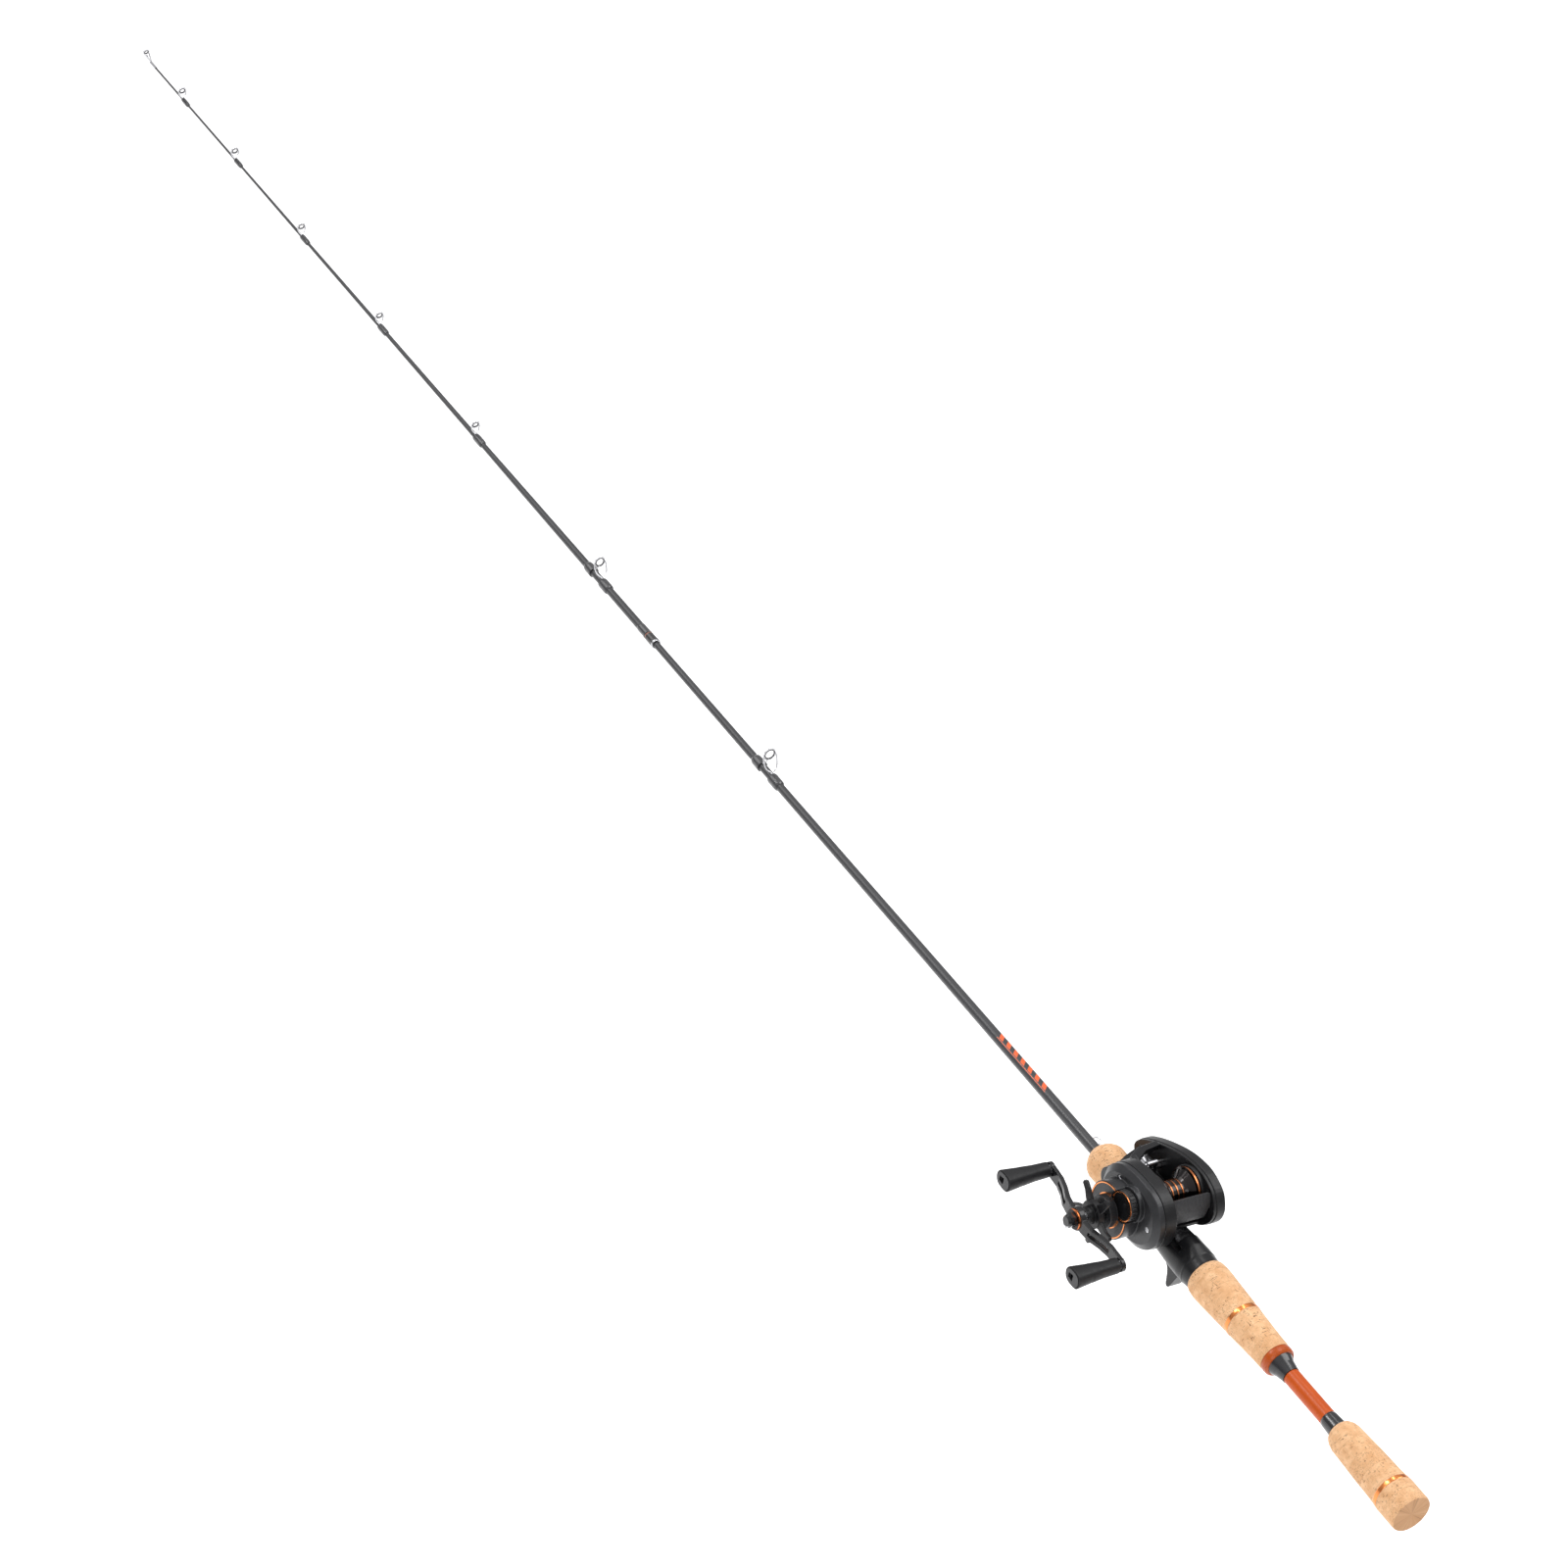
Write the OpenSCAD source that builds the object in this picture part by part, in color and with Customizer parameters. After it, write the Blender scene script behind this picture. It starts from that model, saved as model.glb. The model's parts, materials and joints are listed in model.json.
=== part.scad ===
// Two-piece casting rod with a low-profile, left-hand reel.
// X runs from the butt to the tip, Y to the handle side, Z up. Origin: centre of the butt end face.

/* [Rod] */
// Butt face to the end of the tip blank
rod_length = 2083; // [1800:1:2500]
// Butt face to the joint between the two sections
ferrule_x = 1017; // [900:1:1100]
// Length of the joint's overlap
ferrule_overlap = 60; // [40:1:90]
// Blank diameter at the front grip
butt_blank_d = 8.9; // [7:0.1:11]
// Blank diameter of the butt section at the joint
joint_d = 5.7; // [4.6:0.1:6.2]
// Outside diameter of the tip section at the joint
tip_female_d = 6.95; // [6.9:0.05:8]
// Blank diameter at the tip
tip_d = 1.86; // [1.6:0.02:2.4]
// Wall of the hollow blank at the butt
blank_wall = 1.1; // [0.8:0.1:1.5]

/* [Grips] */
// Diameter of the butt cap, which drops into a rod holder
butt_d = 28.9; // [26:0.1:32]
// Length of the butt grip
butt_grip_len = 78; // [65:1:95]
// Rear grip, start
rear_grip_x = 149; // [140:1:160]
// Rear grip, greatest diameter
rear_grip_d = 30.2; // [28:0.1:34]
// Front grip, greatest diameter
foregrip_d = 29.7; // [27:0.1:32]
// Front grip, length
foregrip_len = 32; // [26:1:36]
// Diameter of the orange sleeve
sleeve_d = 12; // [11.2:0.1:14]
// Width of the rings let into the cork
trim_w = 3; // [2:0.1:4]

/* [Reel seat] */
// Rear end of the seat
seat_x = 230.6; // [228:0.1:234]
// Outside diameter of the seat barrel
seat_d = 25.6; // [24:0.1:27]
// Height of the foot's bed above the blank's axis
bed_z = 8; // [7.5:0.1:8.6]
// Travel of the sliding hood
hood_travel = 7.5; // [6:0.1:8]
// Screw pitch of the lock nut
nut_pitch = 1.5; // [1:0.1:2]
// Drop of the finger trigger below the blank's axis
trigger_drop = 30; // [26:0.5:36]

/* [Guides] */
// Outside diameter of the first guide's frame ring
guide1_d = 11.2; // [10:0.1:13]
// Outside diameter of the second guide's frame ring
guide2_d = 10.2; // [9:0.1:12]
// Outside diameter of the small guides' frame rings
guide_small_d = 8; // [7:0.1:9]
// Outside diameter of the tip guide
tip_ring_d = 7.2; // [6:0.1:8]
// Wire thickness of the guide frames
wire_d = 1.2; // [1:0.1:1.4]
// Height of the first guide's ring centre above the blank's axis
guide1_h = 16.2; // [14:0.1:18]

/* [Reel body] */
// Spool axis, along the rod
spool_x = 281.5; // [280:0.1:283]
// Spool axis, height above the blank's axis
spool_z = 31.6; // [31.4:0.1:32.4]
// Length of the reel's palm side
reel_len = 92; // [84:1:100]
// Top of the reel above the spool axis
reel_top = 17.6; // [17.2:0.1:20]
// Inner face of the frame's handle wall
wall_l = 16; // [15.6:0.1:16.4]
// Inner face of the frame's palm wall
wall_r = 15; // [14:0.1:16]
// Frame wall thickness
wall_t = 2.4; // [2:0.1:3]
// Spool flange radius
spool_r = 16; // [14.5:0.1:16.4]
// Radius of the gear boss
boss_r = 20.4; // [19.5:0.1:21.5]

/* [Gears] */
// Teeth on the drive gear
drive_teeth = 80; // [76:1:84]
// Teeth on the pinion
pinion_teeth = 13; // [13:1:15]
// Module of the drive gear and pinion
gear_m = 0.35; // [0.34:0.005:0.36]
// Spool shaft diameter
spool_shaft_d = 2.4; // [2:0.1:2.6]
// Drive shaft diameter
drive_shaft_d = 6; // [5:0.1:6.6]

/* [Handle] */
// Distance between the two knob axes
handle_span = 90; // [80:1:100]
// Angle of the handle at rest
handle_angle = 6; // [0:0.1:20]
// Length of each knob
knob_len = 36; // [30:0.5:42]
// Width of a knob at its outer end
knob_w = 17.2; // [14:0.1:19]
// Reach of the star drag's arms
star_r = 23; // [20:0.5:25]

/* [Fits] */
// Radial running clearance of shafts
run_gap = 0.05; // [0.02:0.01:0.1]
// Gap between neighbouring moving pieces
gap = 0.35; // [0.3:0.05:0.5]
// Gap between pieces that are fixed together
fit = 0.02; // [0.01:0.01:0.05]

/* [Hidden] */
$fn = 48;

cork = [0.85, 0.66, 0.46];
copper = [0.80, 0.38, 0.20];
black = [0.10, 0.10, 0.11];
grey = [0.40, 0.40, 0.42];
steel = [0.75, 0.75, 0.77];

foregrip_x = 332;
foregrip_end = foregrip_x + foregrip_len;
seat_r = seat_d / 2;
thread_r = 10.8;
nut_in = thread_r + gap;

// blank radius along the rod
function bk(x) = x < foregrip_end ? butt_blank_d / 2 + (foregrip_end - x) * 0.0012
  : butt_blank_d / 2 + (joint_d - butt_blank_d) / 2 * (x - foregrip_end) / (ferrule_x - foregrip_end);
tip_len = rod_length - ferrule_x;
tip_f = [[0, 1], [0.028, 0.99], [0.215, 0.735], [0.33, 0.505], [0.55, 0.305], [0.78, 0.085], [1, 0]];
function tr(f) = tip_d / 2 + (tip_female_d - tip_d) / 2 * f;
function tip_at(x) = let (u = (x - ferrule_x) / tip_len) tr(lookup(u, tip_f));

// guide stations, measured back from the tip
gb = [84, 214, 370, 542, 739, 966, 1251.5];
function gx(i) = rod_length - gb[7 - i] * (rod_length / 2083);
small_h = [0, 0, 0, 9.6, 8.8, 8.2, 7.6, 7.2];
guide2_h = guide1_h - 1.8;

// handle axis from the gear centre distance
centre_d = gear_m * (drive_teeth + pinion_teeth) / 2;
hx = spool_x + centre_d * 0.6757;
hz = spool_z - centre_d * 0.7372;
worm_x = hx + 23.56;
worm_z = hz + 3.6;
lw_m = 0.5;
rod_x = worm_x - 2;
rod_z = worm_z + 6.2;
hub_t = 32;
idl_t = 20;
wrm_t = 24;
d1 = lw_m * (hub_t + idl_t) / 2;
d2 = lw_m * (idl_t + wrm_t) / 2;
dw = norm([worm_x - hx, worm_z - hz]);
ca = (d1 * d1 + dw * dw - d2 * d2) / (2 * d1 * dw);
base_a = atan2(worm_z - hz, worm_x - hx);
idl_a = base_a - acos(min(1, ca));
idl_x = hx + d1 * cos(idl_a);
idl_z = hz + d1 * sin(idl_a);

rim_l = 25;
boss_y = 43;
cover_y = 32.5;
lw_y0 = 20.4;
lw_y1 = 23;
palm_y = wall_r + wall_t;
palm_out = 28.6;
thumb_r = spool_r + 2.6;
arm_y = 70;
arm_t = 3;
knob_y = 64.4;
hc = cos(handle_angle);
hs = sin(handle_angle);
half = handle_span / 2;

module ycyl(x, z, y0, y1, r, f = 48) translate([x, y1, z]) rotate([90, 0, 0]) cylinder(h = y1 - y0, r = r, $fn = f);
module ycone(x, z, y0, y1, r0, r1) translate([x, y1, z]) rotate([90, 0, 0]) cylinder(h = y1 - y0, r1 = r1, r2 = r0);
module xcyl(x0, x1, r) translate([x0, 0, 0]) rotate([0, 90, 0]) cylinder(h = x1 - x0, r = r);
module ext_y(y0, y1) translate([0, y1, 0]) rotate([90, 0, 0]) linear_extrude(height = y1 - y0) children();
// turned shape about the rod axis: points are [x, radius]
module turned(pts) rotate([0, 90, 0]) rotate([0, 0, 90]) rotate_extrude($fn = 96) polygon([for (p = pts) [p[1], p[0]]]);
// turned shape about a Y axis: points are [radius, y]
module yturned(x, z, pts, f = 64) translate([x, 0, z]) rotate([-90, 0, 0]) rotate_extrude($fn = f) polygon(pts);
module bar(p, q, r) {
  d = q - p;
  l = norm(d);
  translate(p) rotate([0, acos(d[2] / l), atan2(d[1], d[0])]) cylinder(h = l, r = r, $fn = 20);
}

// closed smooth curve through a few points
function cr(a, b, c, d, t) = 0.5 * ((2 * b) + (c - a) * t + (2 * a - 5 * b + 4 * c - d) * t * t
  + (3 * b - a - 3 * c + d) * t * t * t);
function smooth(p, n = 5) = let (k = len(p)) [for (i = [0:k - 1]) for (j = [0:n - 1])
  cr(p[(i + k - 1) % k], p[i], p[(i + 1) % k], p[(i + 2) % k], j / n)];
function unit2(v) = v / max(norm(v), 0.0001);
function inset(p, d) = let (k = len(p)) [for (i = [0:k - 1])
  let (t = unit2(p[(i + 1) % k] - p[(i + k - 1) % k])) p[i] + d * [t[1], -t[0]]];

// side outline of the reel, anticlockwise when seen with X right and Z up
ru = reel_len / 92;
palm_pts = [for (q = [[64.5, -14.5], [61, -7], [51, 0.2], [37, 7.4], [20, 14.2], [5, 17.4], [-8, 17.2],
  [-20.6, 11.6], [-26.4, 2.6], [-26.6, -6], [-22.4, -14], [-14.6, -20.6], [-2, -26.4], [20, -27.5], [44, -24.5], [59, -21]])
  [spool_x + q[0] * ru, spool_z + q[1] * (q[1] > 0 ? reel_top / 17.6 : 1)]];
hand_pts = [for (q = [[38.6, -9], [37.6, -0.5], [33.4, 7.4], [25, 13.4], [13.4, 16.8], [1, 17.6], [-10, 16.8], [-20, 12.6],
  [-27, 4], [-29, -7], [-27, -17], [-21, -25.4], [-11, -31.4], [2, -33.4], [16, -33.2], [28, -29], [36, -20]])
  [spool_x + q[0], spool_z + q[1] * (q[1] > 0 ? reel_top / 17.6 : 1)]];
palm_o = smooth(palm_pts);
hand_o = smooth(hand_pts);

// gear tooth outline with shortened, thinned teeth
module gear2d(m, t, phase = 0, thin = 0.07, add = 0.85) {
  rp = m * t / 2;
  ro = rp + m * add;
  ri = rp - m * 1.25;
  w = 360 / t;
  polygon([for (i = [0:t - 1]) let (a = phase + i * w) each [
    ri * [cos(a - w * 0.38), sin(a - w * 0.38)],
    rp * [cos(a - w * (0.25 - thin)), sin(a - w * (0.25 - thin))],
    ro * [cos(a - w * 0.09), sin(a - w * 0.09)],
    ro * [cos(a + w * 0.09), sin(a + w * 0.09)],
    rp * [cos(a + w * (0.25 - thin)), sin(a + w * (0.25 - thin))],
    ri * [cos(a + w * 0.38), sin(a + w * 0.38)]]]);
}
module ygear(x, z, y0, y1, m, t, ph) translate([x, y1, z]) rotate([90, 0, 0])
  linear_extrude(height = y1 - y0) gear2d(m, t, ph);

// ---- rod ----
module butt_grip() color(cork) {
  r = butt_d / 2;
  e = butt_grip_len;
  turned([[0, 0], [0, r - 0.5], [1.2, r], [18.3, r], [18.8, r - 0.45], [18.8, r - 1.5],
    [18.8 + trim_w, r - 1.5], [18.8 + trim_w, r - 0.5], [29, r - 1], [46, r - 1.5], [60, r - 2.2],
    [e - 8, r - 2.6], [e - 4, r - 3.5], [e - 1.2, r - 5], [e, r - 6.6], [e, bk(e) + fit], [14, bk(14) + fit], [14, 0]]);
}
module butt_trim_ring() color(copper)
  turned([[18.8, butt_d / 2 - 1.5 + fit], [18.8, butt_d / 2 - 0.35], [19.2, butt_d / 2 - 0.15],
    [18.4 + trim_w, butt_d / 2 - 0.15], [18.8 + trim_w, butt_d / 2 - 0.35], [18.8 + trim_w, butt_d / 2 - 1.5 + fit]]);
module butt_check() color(black)
  turned([[butt_grip_len, 5.4], [butt_grip_len, 6.7], [butt_grip_len + 1, 7], [butt_grip_len + 10.5, 6.35],
    [butt_grip_len + 12, 5.9], [butt_grip_len + 12, 5.4]]);
sleeve_x = butt_grip_len + 12;
module orange_sleeve() color(copper)
  turned([[sleeve_x, 5.2], [sleeve_x, sleeve_d / 2 - 0.3], [sleeve_x + 0.6, sleeve_d / 2],
    [rear_grip_x - 18.6, sleeve_d / 2], [rear_grip_x - 18, sleeve_d / 2 - 0.3], [rear_grip_x - 18, 5.2]]);
module grip_cone() color(black)
  turned([[rear_grip_x - 18, 5.2], [rear_grip_x - 18, 6.4], [rear_grip_x - 16, 6.7], [rear_grip_x - 11, 7.6],
    [rear_grip_x - 7, 9.1], [rear_grip_x - 6, 9.4], [rear_grip_x - 6, 5.2]]);
module grip_end_ring() color(copper)
  turned([[rear_grip_x - 6, 5.2], [rear_grip_x - 6, 10.4], [rear_grip_x - 4.8, 11.4], [rear_grip_x - 2.4, 11.75],
    [rear_grip_x - 0.6, 11.6], [rear_grip_x, 11.2], [rear_grip_x, 5.2]]);
rg = rear_grip_d / 2;
rgx = rear_grip_x;
ring_x = rgx + 35.8;
module rear_grip() color(cork)
  turned([[rgx, 5.2], [rgx, rg - 3.6], [rgx + 1, rg - 3.4], [rgx + 9, rg - 3.2], [rgx + 18, rg - 2.8], [rgx + 27, rg - 2.25],
    [ring_x, rg - 1.75], [ring_x, rg - 2.9], [ring_x + trim_w, rg - 2.9], [ring_x + trim_w, rg - 1.6],
    [rgx + 52, rg - 1], [rgx + 62, rg - 0.5], [rgx + 71, rg], [rgx + 76, rg - 0.05], [rgx + 80, rg - 0.5],
    [seat_x, rg - 1.1], [seat_x, 5.2]]);
module rear_grip_ring() color(copper)
  turned([[ring_x, rg - 2.9 + fit], [ring_x, rg - 1.6], [ring_x + trim_w / 2, rg - 1.45], [ring_x + trim_w, rg - 1.45],
    [ring_x + trim_w, rg - 2.9 + fit]]);

foot_x0 = 250.6;
foot_x1 = 309;
hood_x0 = 302;
hood_x1 = 313.5;
nut_len = 9;
module reel_seat() color(black) difference() {
  union() {
    turned([[seat_x, 5.2], [seat_x, rg - 1.4], [seat_x + 1, rg - 1.7], [seat_x + 6, seat_r + 1], [seat_x + 14, seat_r + 1.5], [seat_x + 24, seat_r + 1.1],
      [seat_x + 46, seat_r - 0.7], [296, seat_r - 1.2], [298, thread_r],
      each [for (i = [0:20]) each [[299 + i * 1.5, thread_r], [299.75 + i * 1.5, thread_r - 0.45]]],
      [331.5, thread_r - 0.4], [foregrip_x, thread_r - 0.4], [foregrip_x, 5.2]]);
    // fixed hood over the foot's rear end
    difference() {
      hull() {
        xcyl(seat_x + 8, seat_x + 9, seat_r + 1.4);
        translate([0, 0, 6.4]) xcyl(246.5, 255.6, 9.8);
      }
      xcyl(200, 300, seat_r - 1.5);
    }
    // finger trigger
    ext_y(-5.2, 5.2) polygon(smooth([[281, -7], [279.5, -11.8], [268.5, -13], [262.4, -17.5], [260.4, -25],
      [259.3, -trigger_drop], [256.4, -trigger_drop - 0.3], [253.2, -23], [250.6, -16], [248.5, -11.5], [248, -6]], 4));
  }
  translate([foot_x0 - 0.4, -15, bed_z]) cube([61.6, 30, 3.2]);
  translate([256.4, -15, bed_z]) cube([55.8, 30, 10]);
  xcyl(seat_x - 1, foregrip_x + 1, 5.19);
}
module sliding_hood() color(black) difference() {
  union() {
    turned([[hood_x0, nut_in], [hood_x0, nut_in + 1.5], [hood_x0 + 1, nut_in + 2], [hood_x1 - 0.2, nut_in + 2],
      [hood_x1 - 0.2, nut_in]]);
    difference() {
      hull() {
        translate([hood_x0, -8.6, 4]) cube([1, 17.2, 8.6]);
        translate([hood_x0 + 0.6, -6.4, 4]) cube([1, 12.8, 9.8]);
        xcyl(hood_x1 - 1.5, hood_x1 - 0.2, nut_in + 2);
      }
      xcyl(290, 330, nut_in);
    }
  }
  translate([hood_x0 - 1, -6.9, bed_z - 1]) cube([foot_x1 - hood_x0 + 1.4, 13.8, 4.3]);
}
module lock_nut() color(black) difference() {
  turned([[hood_x1, nut_in], [hood_x1, nut_in + 1.7], [hood_x1 + 0.8, nut_in + 2.3], [hood_x1 + nut_len - 1.2, nut_in + 2.3],
    [hood_x1 + nut_len - 0.2, nut_in + 1.6], [hood_x1 + nut_len - 0.2, nut_in]]);
  for (i = [0:23]) rotate([i * 15, 0, 0]) translate([hood_x1 + 1.4, 0, nut_in + 2.6]) rotate([0, 90, 0])
    cylinder(h = nut_len - 3.2, r = 0.7, $fn = 16);
}
module foregrip() color(cork) {
  r = foregrip_d / 2;
  e = foregrip_end;
  turned([[foregrip_x, 5.2], [foregrip_x, r - 1.3], [foregrip_x + 1, r - 0.9], [foregrip_x + 8, r - 0.4],
    [e - 15, r], [e - 12, r], [e - 9.5, r - 0.7], [e - 7, r - 2.1], [e - 5, r - 3.7], [e - 3, r - 5.8], [e - 1.2, r - 8.2],
    [e, r - 9.9], [e, bk(e) + fit], [foregrip_x + 6, 5.2]]);
}
module butt_blank() color(grey) {
  e = ferrule_x + ferrule_overlap;
  re = joint_d / 2 - ferrule_overlap * 0.0045;
  turned([[14.2, bk(14) - blank_wall], [14.2, bk(14)], [foregrip_end, butt_blank_d / 2], [ferrule_x, joint_d / 2],
    [e - 0.5, re], [e, re - 0.3], [e, re - 0.9], [ferrule_x, joint_d / 2 - 1], [foregrip_end, butt_blank_d / 2 - blank_wall]]);
}
module hook_keeper() color(steel) rotate([70, 0, 0]) {
  translate([372, 0, bk(372) + 0.03]) rotate([90, 0, 0]) rotate_extrude(angle = 180) translate([3.6, 0]) circle(r = 0.5, $fn = 16);
}
module ferrule_collar() color(steel)
  turned([[ferrule_x - 1.6, joint_d / 2 + gap + 0.1], [ferrule_x - 1.6, tip_female_d / 2 + 0.6], [ferrule_x - 1, tip_female_d / 2 + 0.85],
    [ferrule_x + 1.6, tip_female_d / 2 + 0.85], [ferrule_x + 2.2, tip_female_d / 2 + 0.6], [ferrule_x + 11, tip_female_d / 2 + 0.5],
    [ferrule_x + 12.4, tip_female_d / 2 + 0.1], [ferrule_x + 12.4, tip_female_d / 2 + fit], [ferrule_x, tip_female_d / 2 + fit],
    [ferrule_x, joint_d / 2 + gap + 0.1]]);
module tip_blank() color(grey) {
  o = ferrule_overlap + 1;
  re = joint_d / 2 - ferrule_overlap * 0.0045;
  turned([[ferrule_x + 0.05, joint_d / 2 + run_gap], for (q = tip_f) [ferrule_x + (q[0] == 0 ? 0.05 : q[0] * tip_len), tr(q[1])],
    [rod_length, 0], [ferrule_x + o + 10, 0], [ferrule_x + o, re + run_gap]]);
}

// ---- guides ----
module frame_ring(x, h, d) translate([x, 0, h]) rotate([0, 90, 0]) rotate_extrude($fn = 64)
  translate([d / 2 - wire_d / 2, 0]) circle(r = wire_d / 2, $fn = 20);
module insert_ring(x, h, d, lean = 0) translate([x, 0, h]) rotate([0, 90 - lean, 0]) rotate_extrude($fn = 64)
  polygon([[d / 2 - wire_d - 0.01, -0.5], [d / 2 - wire_d - 0.01, 0.5], [d / 2 - wire_d - 0.5, 0.75], [d / 2 - wire_d - 0.85, 0.35],
    [d / 2 - wire_d - 0.85, -0.35], [d / 2 - wire_d - 0.5, -0.75]]);
module foot(x0, x1, r) translate([min(x0, x1), -1.3, r + 0.05]) cube([abs(x1 - x0), 2.6, 0.7]);
module double_guide(x, d, h, r) {
  b = r + 0.68;
  frame_ring(x + 2, h, d);
  foot(x - 17, x - 6, r);
  foot(x + 7, x + 17, r);
  bar([x - 6.6, -0.8, b], [x + 2, -d / 2 + 0.7, h], wire_d / 2);
  bar([x - 6.6, 0.8, b], [x + 2, d / 2 - 0.7, h], wire_d / 2);
  bar([x + 7.6, 0, b], [x + 2.2, 0, h - d / 2 + 0.7], wire_d / 2);
  bar([x - 6.6, -1.2, b], [x - 6.6, 1.2, b], wire_d / 2);
}
module single_guide(x, d, h, r) {
  b = r + 0.68;
  foot(x - 7, x + 5, r);
  translate([x + 7.6, 0, h]) rotate([0, 90 - 14, 0]) rotate_extrude($fn = 64)
    translate([d / 2 - wire_d / 2, 0]) circle(r = wire_d / 2, $fn = 20);
  bar([x + 4.6, -0.7, b], [x + 7.0, -d / 2 + 1.1, h - 1.4], wire_d / 2);
  bar([x + 4.6, 0.7, b], [x + 7.0, d / 2 - 1.1, h - 1.4], wire_d / 2);
  bar([x + 4.6, -1, b], [x + 4.6, 1, b], wire_d / 2);
}
// thread wrap under epoxy: tapered end at xt, blunt end at xb, open inside from xs for the guide's foot
module wrap(xt, xb, xs, r, bump) {
  u = xb > xt ? 1 : -1;
  difference() {
    turned([[xt, r + fit], [xt, r + 0.25], [xt + u * 1.5, r + bump * 0.8], [xt + u * 4, r + bump], [xb - u * 1.5, r + bump],
      [xb, r + bump - 0.15], [xb, r + fit]]);
    translate([min(xs, xb + u), -1.4, 0]) cube([abs(xb + u - xs), 2.8, r + 0.85]);
  }
}
module guide_1_frame() color(steel) double_guide(gx(1), guide1_d, guide1_h, bk(gx(1) - 17));
module guide_1_ring() color(black) insert_ring(gx(1) + 2, guide1_h, guide1_d);
module butt_wraps() color(black) {
  r = bk(gx(1) - 17);
  wrap(gx(1) - 20, gx(1) - 7.4, gx(1) - 17.2, r, 1.25);
  wrap(gx(1) + 20, gx(1) + 8.4, gx(1) + 17.2, r, 1.25);
}
module guide_2_frame() color(steel) double_guide(gx(2), guide2_d, guide2_h, tip_at(gx(2) - 17));
module small_guide_frames() color(steel)
  for (i = [3:7]) single_guide(gx(i), guide_small_d, small_h[i] + 0.6, tip_at(gx(i) - 9));
module tip_wraps() color(black) {
  r2 = tip_at(gx(2) - 17);
  wrap(gx(2) - 20, gx(2) - 7.4, gx(2) - 17.2, r2, 1.25);
  wrap(gx(2) + 20, gx(2) + 8.4, gx(2) + 17.2, r2, 1.25);
  for (i = [3:7]) wrap(gx(i) - 10.5, gx(i) + 3.7, gx(i) - 7.2, tip_at(gx(i) - 9), 1.2);
  turned([[ferrule_x + 12.6, tip_female_d / 2 + fit], [ferrule_x + 13, tip_female_d / 2 + 0.4],
    [ferrule_x + 24, tip_female_d / 2 + 0.35], [ferrule_x + 26, tip_female_d / 2 + fit]]);
}
module tip_top_frame() color(steel) {
  h = tip_ring_d / 2 + 1.4;
  difference() {
    turned([[rod_length - 11, tip_d / 2 + 0.08], [rod_length - 11, tip_d / 2 + 0.5], [rod_length + 3, tip_d / 2 + 0.5],
      [rod_length + 3.6, 0], [rod_length + 0.1, 0], [rod_length + 0.1, tip_d / 2 + 0.08]]);
  }
  translate([rod_length + 16, 0, h]) rotate([0, 90 - 24, 0]) rotate_extrude($fn = 64)
    translate([tip_ring_d / 2 - wire_d / 2, 0]) circle(r = wire_d / 2, $fn = 20);
  bar([rod_length + 2.4, -0.5, 0.6], [rod_length + 15.2, -tip_ring_d / 2 + 0.9, h - 1.2], wire_d / 2);
  bar([rod_length + 2.4, 0.5, 0.6], [rod_length + 15.2, tip_ring_d / 2 - 0.9, h - 1.2], wire_d / 2);
  bar([rod_length + 2.4, 0, -0.3], [rod_length + 14.2, 0, h - tip_ring_d / 2 + 1], wire_d / 2);
}
module tip_guide_rings() color(black) {
  insert_ring(gx(2) + 2, guide2_h, guide2_d);
  for (i = [3:7]) insert_ring(gx(i) + 7.6, small_h[i] + 0.6, guide_small_d, 14);
  insert_ring(rod_length + 16, tip_ring_d / 2 + 1.4, tip_ring_d, 24);
}

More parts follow.
